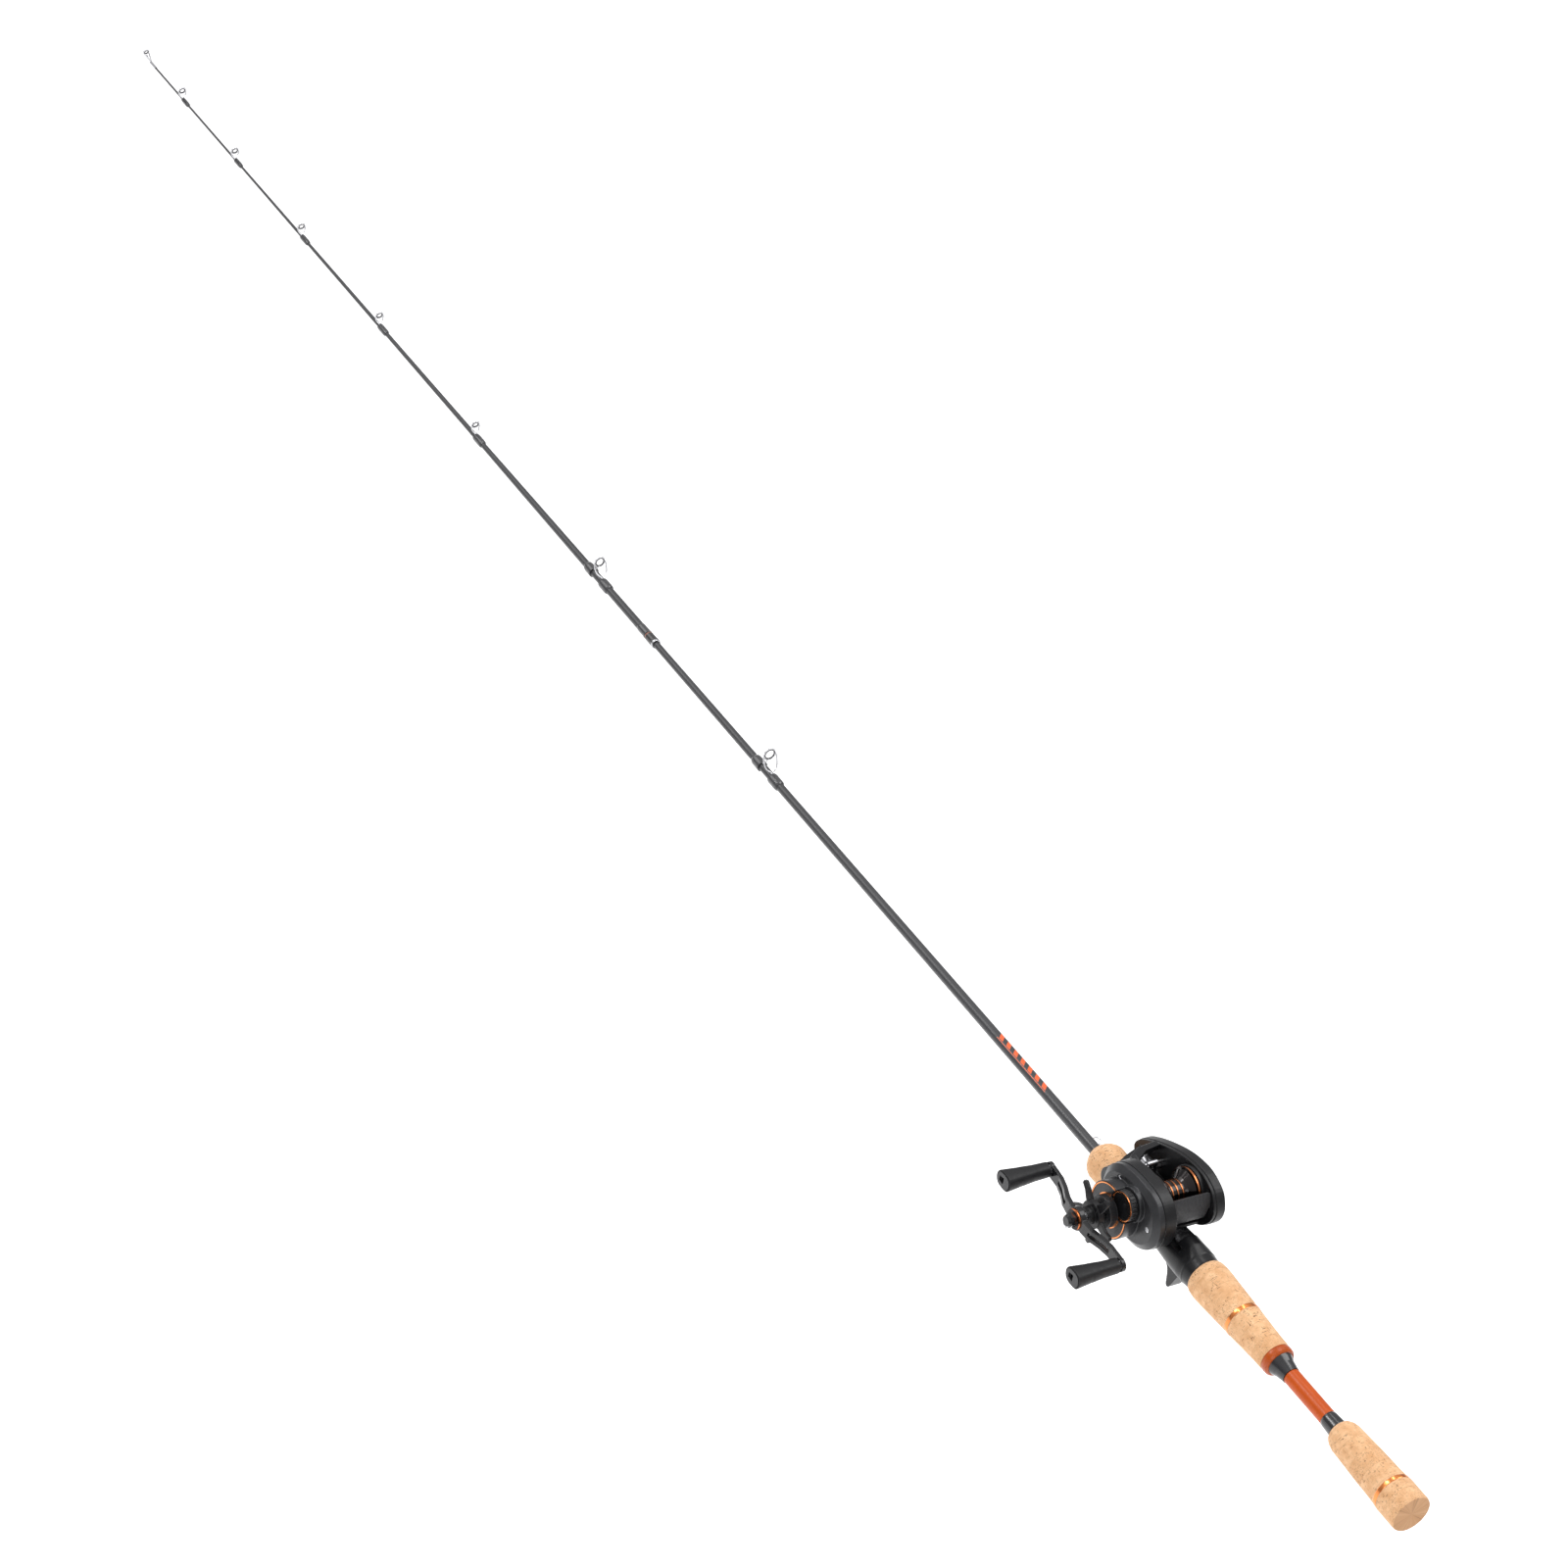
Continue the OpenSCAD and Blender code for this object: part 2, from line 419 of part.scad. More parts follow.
// ---- reel body ----
module reel_foot() color(black) difference() {
  ext_y(-6.4, 6.4) polygon([[foot_x0, bed_z], [foot_x1, bed_z], [foot_x1, bed_z + 1.4], [298, bed_z + 2.8],
    [262, bed_z + 2.8], [foot_x0, bed_z + 1.4]]);
}
floor_z = bed_z + 2.8;
nose_z = bed_z + 6.8;
module reel_frame() color(black) difference() {
  union() {
    ext_y(wall_l, wall_l + wall_t) polygon(hand_o);
    difference() {
      union() {
        ext_y(wall_l + wall_t - 0.1, rim_l) polygon(hand_o);
        ycyl(worm_x, worm_z, wall_l, rim_l, 8.8, 64);
      }
      ext_y(wall_l + wall_t, rim_l + 1) polygon(inset(hand_o, -2));
      ycyl(worm_x, worm_z, wall_l + wall_t, rim_l + 1, 6.9, 64);
    }
    ext_y(-wall_r - wall_t, -wall_r) polygon(palm_o);
    // floor on the foot, posts and the slanting front bars
    translate([268, -wall_r - 0.1, floor_z]) cube([33.2, wall_l + wall_r + 0.2, 2.4]);
    translate([298.6, -wall_r - 0.1, floor_z]) cube([2.8, wall_l + wall_r + 0.2, 5.7]);
    translate([298.6, -wall_r - 0.1, nose_z]) cube([21, wall_l + wall_r + 0.2, 1.7]);
    hull() {
      translate([298, 16, spool_z + 7.4]) cube([7, 2.3, 5.4]);
      translate([309.6, 11.4, spool_z + 5.4]) cube([5, 4, 4.6]);
    }
    hull() {
      translate([309.6, 11.4, spool_z + 5.4]) cube([5, 4, 4.6]);
      translate([317.4, 0, spool_z + 3.8]) cube([4.6, 4, 4.4]);
    }
    hull() {
      translate([317.4, 0, spool_z + 3.8]) cube([4.6, 4, 4.4]);
      translate([322, -wall_r - 0.2, spool_z + 0.8]) cube([4.4, 1, 4.4]);
    }
    translate([0, 0, nose_z]) linear_extrude(height = 7) polygon([[313, 18], [319, 17.6], [325, 14], [330.4, 9], [334, 2],
      [337, -6], [340, -15.2], [334, -15.2], [331, -5], [328, 2], [323, 8.4], [317.4, 12.4], [311, 14]]);
    translate([266, -wall_r - 0.1, spool_z - 19.2]) cube([8, wall_l + wall_r + 0.2, 2.6]);
  }
  // spool opening in the palm wall, bearing and shaft holes
  ycyl(spool_x, spool_z, -wall_r - wall_t - 1, -wall_r + 1, spool_r + 0.8, 96);
  ycyl(spool_x, spool_z, wall_l - 1, wall_l + wall_t + 1, 4.02);
  ycyl(hx, hz, wall_l - 1, wall_l + wall_t + 1, drive_shaft_d / 2 + run_gap);
  ycyl(worm_x, worm_z, wall_l - 1, wall_l + wall_t + 1, 2.05);
  ycyl(worm_x, worm_z, -wall_r - 1.4, -wall_r + 1, 2.05);
  ycyl(rod_x, rod_z, wall_l - 1, wall_l + 1.6, 1.02);
  ycyl(rod_x, rod_z, -wall_r - 1.4, -wall_r + 1, 1.02);
  ycyl(idl_x, idl_z, wall_l - 1, wall_l + wall_t + 1, 1.55);
  // room for the worm and the line guide's pawl cap
  ycyl(worm_x, worm_z, -wall_r, wall_l, 2.5);
  translate([311.2, -wall_r, nose_z + 1.7]) cube([9.4, wall_r + 15, 8]);
  // curved grooves that guide the thumb bar's ends
  for (y = [[wall_l - 1, wall_l + 1.2], [-wall_r - 1.2, -wall_r + 1]]) translate([spool_x, y[1], spool_z]) rotate([90, 0, 0])
    rotate([0, 0, 142]) rotate_extrude(angle = 62, $fn = 96) translate([thumb_r - 0.4, 0]) square([3.8, y[1] - y[0]]);
}
module gear_cover() color(grey) difference() {
  union() {
    ext_y(rim_l, rim_l + 4) polygon(inset(hand_o, -0.4));
    hull() {
      ext_y(rim_l + 3.5, rim_l + 4) polygon(inset(hand_o, -0.4));
      ext_y(cover_y - 0.5, cover_y) polygon(inset(hand_o, -5));
    }
    ycyl(hx, hz, rim_l, boss_y, boss_r, 96);
    ycyl(worm_x, worm_z, rim_l, rim_l + 3.4, 8.4, 64);
    ycyl(spool_x, spool_z, rim_l, 36, 12.6, 64);
    ycyl(hx, hz, boss_y - 1, boss_y + 6, 11.6, 64);
  }
  // hollow for the gears
  difference() {
    ext_y(rim_l - 1, rim_l + 3.5) polygon(inset(hand_o, -2.4));
    ycyl(spool_x, spool_z, rim_l - 2, 42, 5.8);
  }
  ycyl(hx, hz, rim_l - 1, 34.2, 15.2, 64);
  ycyl(hx, hz, 33, boss_y + 1, drive_shaft_d / 2 + gap, 48);
  ycyl(hx, hz, boss_y + 0.35, boss_y + 5.3, 9.05, 64);
  ycyl(hx, hz, boss_y + 5, boss_y + 7, 5.4, 48);
  // pocket of the tension knob
  ycyl(spool_x, spool_z, 36, boss_y - 0.05, knob_pocket, 96);
  // pinion and its shaft end
  ycyl(spool_x, spool_z, rim_l - 2, 33.4, 4.4);
  ycyl(spool_x, spool_z, 32, 35, spool_shaft_d / 2 + 0.6);
  for (s = screw_pts) ycyl(s[0], s[1], cover_y - 2.2, cover_y + 2, 1.95, 32);
}
knob_pocket = 11.4;
screw_pts = [[spool_x + 19.5, spool_z + 6.4], [spool_x - 18.6, spool_z - 8], [spool_x + 29, spool_z - 15]];
module cover_screws() color(steel) for (s = screw_pts) difference() {
  ycyl(s[0], s[1], cover_y - 2.2, cover_y - 0.3, 1.9, 32);
  translate([s[0], cover_y + 0.1, s[1]]) {
    cube([3, 1.4, 0.6], center = true);
    cube([0.6, 1.4, 3], center = true);
  }
}
module cover_trim() color(copper) difference() {
  union() {
    yturned(hx, hz, [[boss_r - 1.7, boss_y + 0.01], [boss_r - 0.9, boss_y + 0.01], [boss_r - 0.9, boss_y + 0.4], [boss_r - 1.7, boss_y + 0.4]], 96);
    yturned(hx, hz, [[11.62, boss_y + 0.01], [12.4, boss_y + 0.01], [12.4, boss_y + 0.5], [11.62, boss_y + 0.5]], 96);
  }
  ycyl(spool_x, spool_z, boss_y - 1, boss_y + 2, knob_pocket + 0.1, 96);
}
module palm_plate() color(black) difference() {
  union() {
    difference() {
      union() {
        ext_y(-palm_y - 6.6, -palm_y) polygon(inset(palm_o, 0.4));
        hull() {
          ext_y(-palm_y - 6.7, -palm_y - 6.2) polygon(inset(palm_o, 0.4));
          ext_y(-palm_out, -palm_out + 0.6) polygon(inset(palm_o, -6));
        }
      }
      ext_y(-palm_out + 4, -palm_y + 1) polygon(inset(palm_o, -2.4));
    }
    difference() {
      ycyl(spool_x, spool_z, -palm_out + 3.5, -12, spool_r + 0.75, 96);
      ycyl(spool_x, spool_z, -palm_out + 6, -15.2, spool_r - 1.2, 96);
    }
    ycyl(spool_x, spool_z, -palm_out + 3.5, -13.6, 6.2, 48);
  }
  ycyl(spool_x, spool_z, -palm_out - 1, -palm_out + 2.6, 9.4, 64);
  ycyl(spool_x, spool_z, -palm_out + 2, -palm_out + 5.4, 2.4, 32);
  ycyl(spool_x, spool_z, -15.1, -11, 4.02);
  ycyl(spool_x, spool_z, -16.6, -11, spool_shaft_d / 2 + 0.5);
}
module brake_dial() color(grey) difference() {
  union() {
    ycyl(spool_x, spool_z, -palm_out - 0.9, -palm_out + 2.4, 9.05, 64);
    ycyl(spool_x, spool_z, -palm_out + 2.3, -palm_out + 5, 2.33, 32);
  }
  for (i = [0:17]) rotate([0, 0, 0]) translate([spool_x + 9.5 * cos(i * 20), -palm_out + 0.8, spool_z + 9.5 * sin(i * 20)])
    rotate([90, 0, 0]) cylinder(h = 3, r = 0.8, $fn = 16);
  translate([spool_x, -palm_out - 0.9, spool_z]) cube([13, 0.8, 1.2], center = true);
}

// ---- spool and clutch ----
spl_l = wall_l - 0.7;
spl_r = 11.5;
module spool() color(black) yturned(spool_x, spool_z, [[spool_shaft_d / 2, -spl_r + 3], [5.2, -spl_r + 3], [9, -spl_r + 1], [13, -spl_r],
  [spool_r - 0.2, -spl_r], [spool_r - 0.2, -spl_r + 1.6], [spool_r - 1.6, -spl_r + 2.2], [10.4, -spl_r + 6], [9, -spl_r + 7.6],
  [9, spl_l - 7.6], [10.4, spl_l - 6], [spool_r - 1.4, spl_l - 2.2], [spool_r, spl_l - 1.6], [spool_r, spl_l], [13, spl_l],
  [9, spl_l - 1], [5.2, spl_l - 3], [spool_shaft_d / 2, spl_l - 3]], 96);
module spool_rings() color(copper) {
  yturned(spool_x, spool_z, [[spool_r - 0.18, -spl_r + 0.3], [spool_r, -spl_r + 0.3], [spool_r, -spl_r + 1.5], [spool_r - 0.18, -spl_r + 1.5]], 96);
  for (y = [-2.6, 1.5, 5.6]) yturned(spool_x, spool_z, [[9.02, y], [9.45, y + 0.1], [9.45, y + 0.9], [9.02, y + 1]], 96);
}
module spool_shaft() color(steel) difference() {
  union() {
    ycyl(spool_x, spool_z, -16.1, 34, spool_shaft_d / 2 - 0.02, 48);
    ycyl(spool_x, spool_z, 18.8, 20.55, 1.9, 32);
  }
}
module spool_bearings() color(steel) {
  yturned(spool_x, spool_z, [[spool_shaft_d / 2 + run_gap, -15], [4, -15], [4, -12.5], [spool_shaft_d / 2 + run_gap, -12.5]]);
  yturned(spool_x, spool_z, [[spool_shaft_d / 2 + run_gap, wall_l + 0.05], [4, wall_l + 0.05], [4, wall_l + wall_t], [spool_shaft_d / 2 + run_gap, wall_l + wall_t]]);
}
gear_y0 = 26.4;
gear_y1 = 29.4;
module pinion_gear() color([0.75, 0.6, 0.3]) difference() {
  union() {
    ygear(spool_x, spool_z, 24.5, 31.3, gear_m, pinion_teeth, -47.5 + 180 / pinion_teeth);
    ycyl(spool_x, spool_z, 20.9, 22.1, 3.1, 32);
    ycyl(spool_x, spool_z, 22, 23.4, 2.1, 32);
    ycyl(spool_x, spool_z, 23.3, 24.5, 3.1, 32);
  }
  ycyl(spool_x, spool_z, 20, 32, spool_shaft_d / 2 + run_gap, 48);
}
module clutch_yoke() color(steel) difference() {
  translate([spool_x - 8.4, 22.25, spool_z - 2.9]) cube([12.6, 0.9, 5.8]);
  ycyl(spool_x, spool_z, 21, 25, 2.45, 32);
  translate([spool_x, 21, spool_z - 2.45]) cube([8, 4, 4.9]);
}
module drive_gear() color([0.75, 0.6, 0.3]) difference() {
  ygear(hx, hz, gear_y0, gear_y1, gear_m, drive_teeth, 132.5);
  ycyl(hx, hz, gear_y0 - 1, gear_y1 + 1, drive_shaft_d / 2 + fit, 48);
  for (i = [0:5]) ycyl(hx + 8 * cos(i * 60), hz + 8 * sin(i * 60), gear_y0 - 1, gear_y1 + 1, 2, 32);
}
module drive_shaft() color(steel) union() {
  ycyl(hx, hz, wall_l - 0.3, 64, drive_shaft_d / 2, 48);
  ycyl(hx, hz, 63.9, 73.8, 2.4, 32);
  difference() {
    ygear(hx, hz, lw_y0, lw_y1, lw_m, hub_t, base_ph);
    ycyl(hx, hz, lw_y0 - 1, lw_y1 + 1, 2, 32);
  }
}
base_ph = idl_a;
module drag_washers() color([0.3, 0.3, 0.3]) {
  yturned(hx, hz, [[drive_shaft_d / 2 + fit, gear_y1 + 0.05], [11.5, gear_y1 + 0.05], [11.5, gear_y1 + 1.1], [drive_shaft_d / 2 + fit, gear_y1 + 1.1]]);
  yturned(hx, hz, [[drive_shaft_d / 2 + fit, gear_y1 + 1.15], [12.2, gear_y1 + 1.15], [12.2, gear_y1 + 2.4], [drive_shaft_d / 2 + fit, gear_y1 + 2.4]]);
}
module one_way_bearing() color(steel)
  yturned(hx, hz, [[drive_shaft_d / 2 + run_gap, boss_y + 0.4], [9, boss_y + 0.4], [9, boss_y + 5.2], [drive_shaft_d / 2 + run_gap, boss_y + 5.2]]);
kn_r = knob_pocket - gap;
kn_y = boss_y - 0.7;
module tension_knob() color(black) difference() {
  yturned(spool_x, spool_z, [[0, kn_y - 3], [0, 36.35], [kn_r - 0.6, 36.35], [kn_r, 36.9], [kn_r, kn_y - 1.6], [kn_r - 0.4, kn_y - 1],
    [kn_r - 0.5, kn_y - 0.4], [kn_r - 1.3, kn_y - 0.4], [kn_r - 2.6, kn_y - 1.2], [4, kn_y - 2.2]], 64);
  for (i = [0:23]) translate([spool_x + (kn_r + 0.3) * cos(i * 15), 41, spool_z + (kn_r + 0.3) * sin(i * 15)]) rotate([90, 0, 0])
    cylinder(h = 3.6, r = 0.7, $fn = 16);
}
module tension_trim() color(copper)
  yturned(spool_x, spool_z, [[kn_r - 1.3, kn_y - 0.38], [kn_r - 0.5, kn_y - 0.38], [kn_r - 0.5, kn_y], [kn_r - 1.3, kn_y]], 64);

// ---- handle ----
module star_drag() color(black) difference() {
  union() {
    ycyl(hx, hz, 49.6, 61, 6.4);
    ycyl(hx, hz, 53, 57.4, 10, 64);
    for (i = [0:4]) translate([hx, 0, hz]) rotate([0, -(i * 72 + 50), 0]) translate([-hx, 0, -hz])
      ext_y(54, 56.4) polygon([[hx + 4, hz - 3.6], [hx + 12, hz - 3.2], [hx + star_r - 6, hz - 2.3], [hx + star_r - 1, hz - 3.2],
        [hx + star_r + 0.4, hz - 1.4], [hx + star_r - 0.2, hz + 1.2], [hx + star_r - 5, hz + 2.4], [hx + 12, hz + 3], [hx + 4, hz + 3.6]]);
  }
  ycyl(hx, hz, 48, 63, drive_shaft_d / 2 + run_gap, 48);
}
module at_handle() translate([hx, 0, hz]) rotate([0, -handle_angle, 0]) children();
module handle_arm() color(black) difference() {
  at_handle() union() {
    ycyl(0, 0, 66, 70, 8.2, 64);
    for (s = [0, 180]) rotate([0, s, 0]) {
      translate([0, 0, 0]) linear_extrude(height = 9.4, center = true)
        polygon([[0, 66.2], [9, 66.2], [15, 65.4], [24, 62.2], [32, 60.4], [half - 4.4, 60.2], [half - 4.4, 63.2],
          [33, 63.2], [25, 65.2], [17, 68.6], [9, 69.8], [0, 69.8]]);
      ycyl(half, 0, 60.2, 63.2, 5, 48);
      translate([half - 5, 60.2, -4.7]) cube([5, 3, 9.4]);
    }
  }
  at_handle() {
    for (s = [0, 180]) rotate([0, s, 0]) {
      translate([14.5, 58, -1.5]) cube([18, 14, 3]);
      ycyl(half, 0, 59, 65, 2.02, 32);
    }
    ycyl(0, 0, 60, 72, 2.42, 32);
  }
}
module handle_washer() color(copper) difference() {
  at_handle() union() {
    ycyl(0, 0, 70.05, 71, 7.4, 64);
    translate([0, 70.05, -2]) rotate([0, 42, 0]) translate([0, 0, -3]) cube([10.4, 0.95, 6]);
  }
  ycyl(hx, hz, 69, 72, 2.42, 32);
}
module handle_nut() color(black) difference() {
  union() {
    translate([hx, 75.4, hz]) rotate([90, 0, 0]) cylinder(h = 4.35, r = 5.2, $fn = 6);
    ycone(hx, hz, 75.3, 77.4, 4.4, 3.4);
  }
  ycyl(hx, hz, 70, 73.9, 2.42, 32);
}
ret_a = -42 - handle_angle;
ret_x = hx + 9.6 * cos(ret_a) - 1.4;
ret_z = hz + 9.6 * sin(ret_a) - 1.2;
module nut_retainer() color(steel) difference() {
  ycyl(ret_x, ret_z, 71.05, 72.2, 2.6, 32);
  ycyl(ret_x, ret_z, 70, 73, 1.02, 24);
  ycyl(hx, hz, 70, 73, 6.1, 6);
}
module retainer_screw() color(steel) difference() {
  union() {
    ycyl(ret_x, ret_z, 71.1, 72.2, 1, 24);
    ycyl(ret_x, ret_z, 72.25, 73.1, 1.7, 32);
    ycyl(ret_x, ret_z, 72.1, 72.4, 1, 24);
  }
  translate([ret_x, 73.2, ret_z]) cube([2.4, 0.8, 0.5], center = true);
}
module knob_posts() color(steel) at_handle() for (s = [0, 180]) rotate([0, s, 0]) {
  ycyl(half, 0, 60.6, knob_y + knob_len - 6, 2, 32);
  ycyl(half, 0, 63.25, 64.1, 3.6, 32);
}
// paddle section at a share of the knob's length
module paddle(u) {
  w = (5 + (knob_w / 2 - 5) * u);
  t = 5 + 1.6 * u;
  polygon(smooth([[w, 0], [w * 0.72, t * 0.8], [0, t], [-w * 0.72, t * 0.8], [-w, 0], [-w * 0.72, -t * 0.8], [0, -t], [w * 0.72, -t * 0.8]], 4));
}
module knob(s) {
  kx = hx + s * half * hc;
  kz = hz + s * half * hs;
  difference() {
    union() {
      for (k = [[0, 0, 0.12], [0.3, 0.1, 0.45], [0.62, 0.42, 0.9]]) translate([kx, knob_y + knob_len * k[0], kz]) rotate([-90, 0, 0]) hull() {
        linear_extrude(height = 0.5) paddle(k[1]);
        translate([0, 0, knob_len * (k[0] < 0.6 ? 0.31 : 0.355)]) linear_extrude(height = 0.5) paddle(k[2]);
      }
    }
    ycyl(kx, kz, knob_y - 1, knob_y + knob_len - 5.6, 2 + run_gap, 32);
    translate([kx, knob_y + knob_len - 1.2, kz]) rotate([-90, 0, 0]) linear_extrude(height = 3) scale(0.86) paddle(0.9);
    ycyl(kx, kz, knob_y + knob_len - 5.65, knob_y + knob_len, 3.5, 32);
  }
}
module knob_cap(s) {
  kx = hx + s * half * hc;
  kz = hz + s * half * hs;
  difference() {
    translate([kx, knob_y + knob_len - 1.15, kz]) rotate([-90, 0, 0]) linear_extrude(height = 1.1) scale(0.845) paddle(0.9);
    translate([kx, knob_y + knob_len + 1, kz]) rotate([90, 0, 0]) linear_extrude(height = 4) polygon([[-0.6, -2.6], [4.2, -1.9], [4.2, 1.9], [-0.6, 2.6]]);
  }
}
module knob_1() color(black) knob(1);
module knob_2() color(black) knob(-1);
module knob_cap_1() color(grey) knob_cap(1);
module knob_cap_2() color(grey) knob_cap(-1);

// ---- level wind ----
module worm_shaft() color(steel) {
  difference() {
    ycyl(worm_x, worm_z, -wall_r - 1.2, wall_l + wall_t + 0.6, 2, 48);
    for (i = [0:9]) translate([worm_x, 12.6 - i * 2.6, worm_z]) rotate([90, 0, 0]) rotate_extrude($fn = 48) translate([1.55, 0]) square([1, 0.9]);
  }
  ygear(worm_x, worm_z, lw_y0, lw_y1, lw_m, wrm_t, wrm_ph);
  ycyl(worm_x, worm_z, wall_l + wall_t + 0.5, lw_y0 + 0.1, 1.6, 32);
}
idl_ph = idl_a + 180 + 180 / idl_t;
wi_a = atan2(worm_z - idl_z, worm_x - idl_x);
// the worm gear's tooth phase follows from the idler's
wrm_ph = wi_a + 180 + 180 / wrm_t + (wi_a - idl_ph) * idl_t / wrm_t;
module idler_gear() color([0.85, 0.85, 0.8]) {
  ygear(idl_x, idl_z, lw_y0, lw_y1, lw_m, idl_t, idl_ph);
  ycyl(idl_x, idl_z, wall_l + 0.3, lw_y0 + 0.1, 1.5, 32);
}
lg_y = -5;
eye_x = worm_x + 4.4;
eye_z = worm_z + 3.4;
module line_guide() color(steel) difference() {
  union() {
    ycyl(worm_x, worm_z, lg_y - 4, lg_y + 4, 4.1, 48);
    translate([worm_x - 4, lg_y - 4, worm_z]) cube([4.4, 8, 6]);
    ycyl(rod_x, rod_z, lg_y - 4, lg_y + 4, 2.2, 32);
    translate([worm_x, lg_y, eye_z]) rotate([0, 90, 0]) cylinder(h = 7.2, r = 4, $fn = 48);
    translate([worm_x, lg_y, worm_z - 6.2]) cylinder(h = 4, r = 2.2, $fn = 32);
  }
  ycyl(worm_x, worm_z, lg_y - 5, lg_y + 5, 2.05, 48);
  ycyl(rod_x, rod_z, lg_y - 5, lg_y + 5, 1.05, 32);
  translate([eye_x - 0.2, lg_y, eye_z]) rotate([0, 90, 0]) cylinder(h = 6, r = 2.9, $fn = 48);
  translate([worm_x - 6, lg_y, eye_z + 0.9]) rotate([0, 90, 0]) cylinder(h = 12, r = 1.6, $fn = 32);
}
module line_guide_ring() color(black) translate([eye_x + 0.2, lg_y, eye_z]) rotate([0, 90, 0]) rotate_extrude($fn = 48)
  polygon([[2.88, 0], [2.88, 2.8], [2.3, 2.9], [1.8, 2.2], [1.8, 0.6], [2.3, 0]]);
module guide_rod() color(steel) ycyl(rod_x, rod_z, -wall_r - 1.3, wall_l + 1.5, 1, 32);
module thumb_bar() color(black) {
  translate([spool_x, wall_l - 0.4, spool_z]) rotate([90, 0, 0]) rotate([0, 0, 148]) rotate_extrude(angle = 60, $fn = 96)
    translate([thumb_r, 0]) square([3, wall_l + wall_r - 0.8]);
  translate([spool_x, wall_l + 0.8, spool_z]) rotate([90, 0, 0]) rotate([0, 0, 150]) rotate_extrude(angle = 30, $fn = 96)
    translate([thumb_r + 0.05, 0]) square([2.9, wall_l + wall_r + 1.6]);
}

butt_grip();
butt_trim_ring();
butt_check();
orange_sleeve();
grip_cone();
grip_end_ring();
rear_grip();
rear_grip_ring();
reel_seat();
sliding_hood();
lock_nut();
foregrip();
butt_blank();
hook_keeper();
ferrule_collar();
tip_blank();
guide_1_frame();
guide_1_ring();
butt_wraps();
guide_2_frame();
small_guide_frames();
tip_wraps();
tip_top_frame();
tip_guide_rings();
reel_frame();
reel_foot();
gear_cover();
cover_trim();
cover_screws();
palm_plate();
brake_dial();
spool();
spool_rings();
spool_shaft();
spool_bearings();
pinion_gear();
clutch_yoke();
drive_gear();
drive_shaft();
drag_washers();
one_way_bearing();
tension_knob();
tension_trim();
star_drag();
handle_arm();
handle_washer();
handle_nut();
nut_retainer();
retainer_screw();
knob_posts();
knob_1();
knob_2();
knob_cap_1();
knob_cap_2();
worm_shaft();
idler_gear();
line_guide();
line_guide_ring();
guide_rod();
thumb_bar();
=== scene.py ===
import json
import math
import bmesh
import bpy
from mathutils import Matrix, Vector


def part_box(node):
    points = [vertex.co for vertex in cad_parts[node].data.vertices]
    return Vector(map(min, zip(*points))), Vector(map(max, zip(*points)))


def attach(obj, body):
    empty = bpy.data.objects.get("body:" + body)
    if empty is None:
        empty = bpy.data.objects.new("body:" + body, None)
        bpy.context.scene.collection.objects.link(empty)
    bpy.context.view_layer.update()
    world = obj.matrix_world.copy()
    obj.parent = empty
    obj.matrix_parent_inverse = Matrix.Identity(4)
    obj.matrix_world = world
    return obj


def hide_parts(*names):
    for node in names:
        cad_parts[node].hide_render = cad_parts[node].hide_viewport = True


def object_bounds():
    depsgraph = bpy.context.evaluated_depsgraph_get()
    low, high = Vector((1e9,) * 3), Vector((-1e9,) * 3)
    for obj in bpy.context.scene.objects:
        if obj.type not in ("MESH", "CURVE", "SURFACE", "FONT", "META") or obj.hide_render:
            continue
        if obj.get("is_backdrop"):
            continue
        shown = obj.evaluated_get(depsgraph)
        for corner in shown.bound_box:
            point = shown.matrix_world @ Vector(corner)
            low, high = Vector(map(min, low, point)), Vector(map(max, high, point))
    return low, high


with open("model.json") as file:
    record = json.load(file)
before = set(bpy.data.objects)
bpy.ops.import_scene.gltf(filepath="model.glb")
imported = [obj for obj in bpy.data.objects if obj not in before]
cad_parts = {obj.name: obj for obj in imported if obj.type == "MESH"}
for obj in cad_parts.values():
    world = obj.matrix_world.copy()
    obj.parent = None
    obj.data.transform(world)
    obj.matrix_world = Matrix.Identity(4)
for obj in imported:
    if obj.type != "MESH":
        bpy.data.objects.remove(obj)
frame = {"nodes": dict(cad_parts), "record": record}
first_lo, first_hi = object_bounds()
N = frame["nodes"]
REC = frame["record"]
BODY = {n: b for b, ns in REC["behaviour"]["bodies"].items() for n in ns}
scene = bpy.context.scene
mm = 0.001


def lin(r, g, b):
    """A colour given as 0 to 255 screen values, as the linear RGBA that a shader takes."""
    def channel(v):
        v /= 255
        return v / 12.92 if v <= 0.04045 else ((v + 0.055) / 1.055) ** 2.4

    return channel(r), channel(g), channel(b), 1.0


def shade(rgb, factor):
    """A linear colour made darker or lighter."""
    return tuple(min(1, c * factor) for c in rgb[:3]) + (1,)


# ---------------------------------------------------------------- camera, light, floor
cam_data = bpy.data.cameras.new("camera")
cam = bpy.data.objects.new("camera", cam_data)
scene.collection.objects.link(cam)
cam_data.lens = 89.06
cam_data.sensor_width = 36
cam_right = Vector((-0.48764, -0.85827, 0.15995))
cam_up = Vector((0.56031, -0.16716, 0.81124))
cam_back = Vector((-0.66953, 0.48522, 0.56241))
cam_pose = Matrix((cam_right, cam_up, cam_back)).transposed().to_4x4()
cam_pose.translation = Vector((-1.17802, 1.43903, 1.67381))
cam.matrix_world = cam_pose
cam_data.clip_start, cam_data.clip_end = 0.05, 60
scene.camera = cam
scene.view_settings.view_transform = "Standard"
scene.view_settings.look = "None"


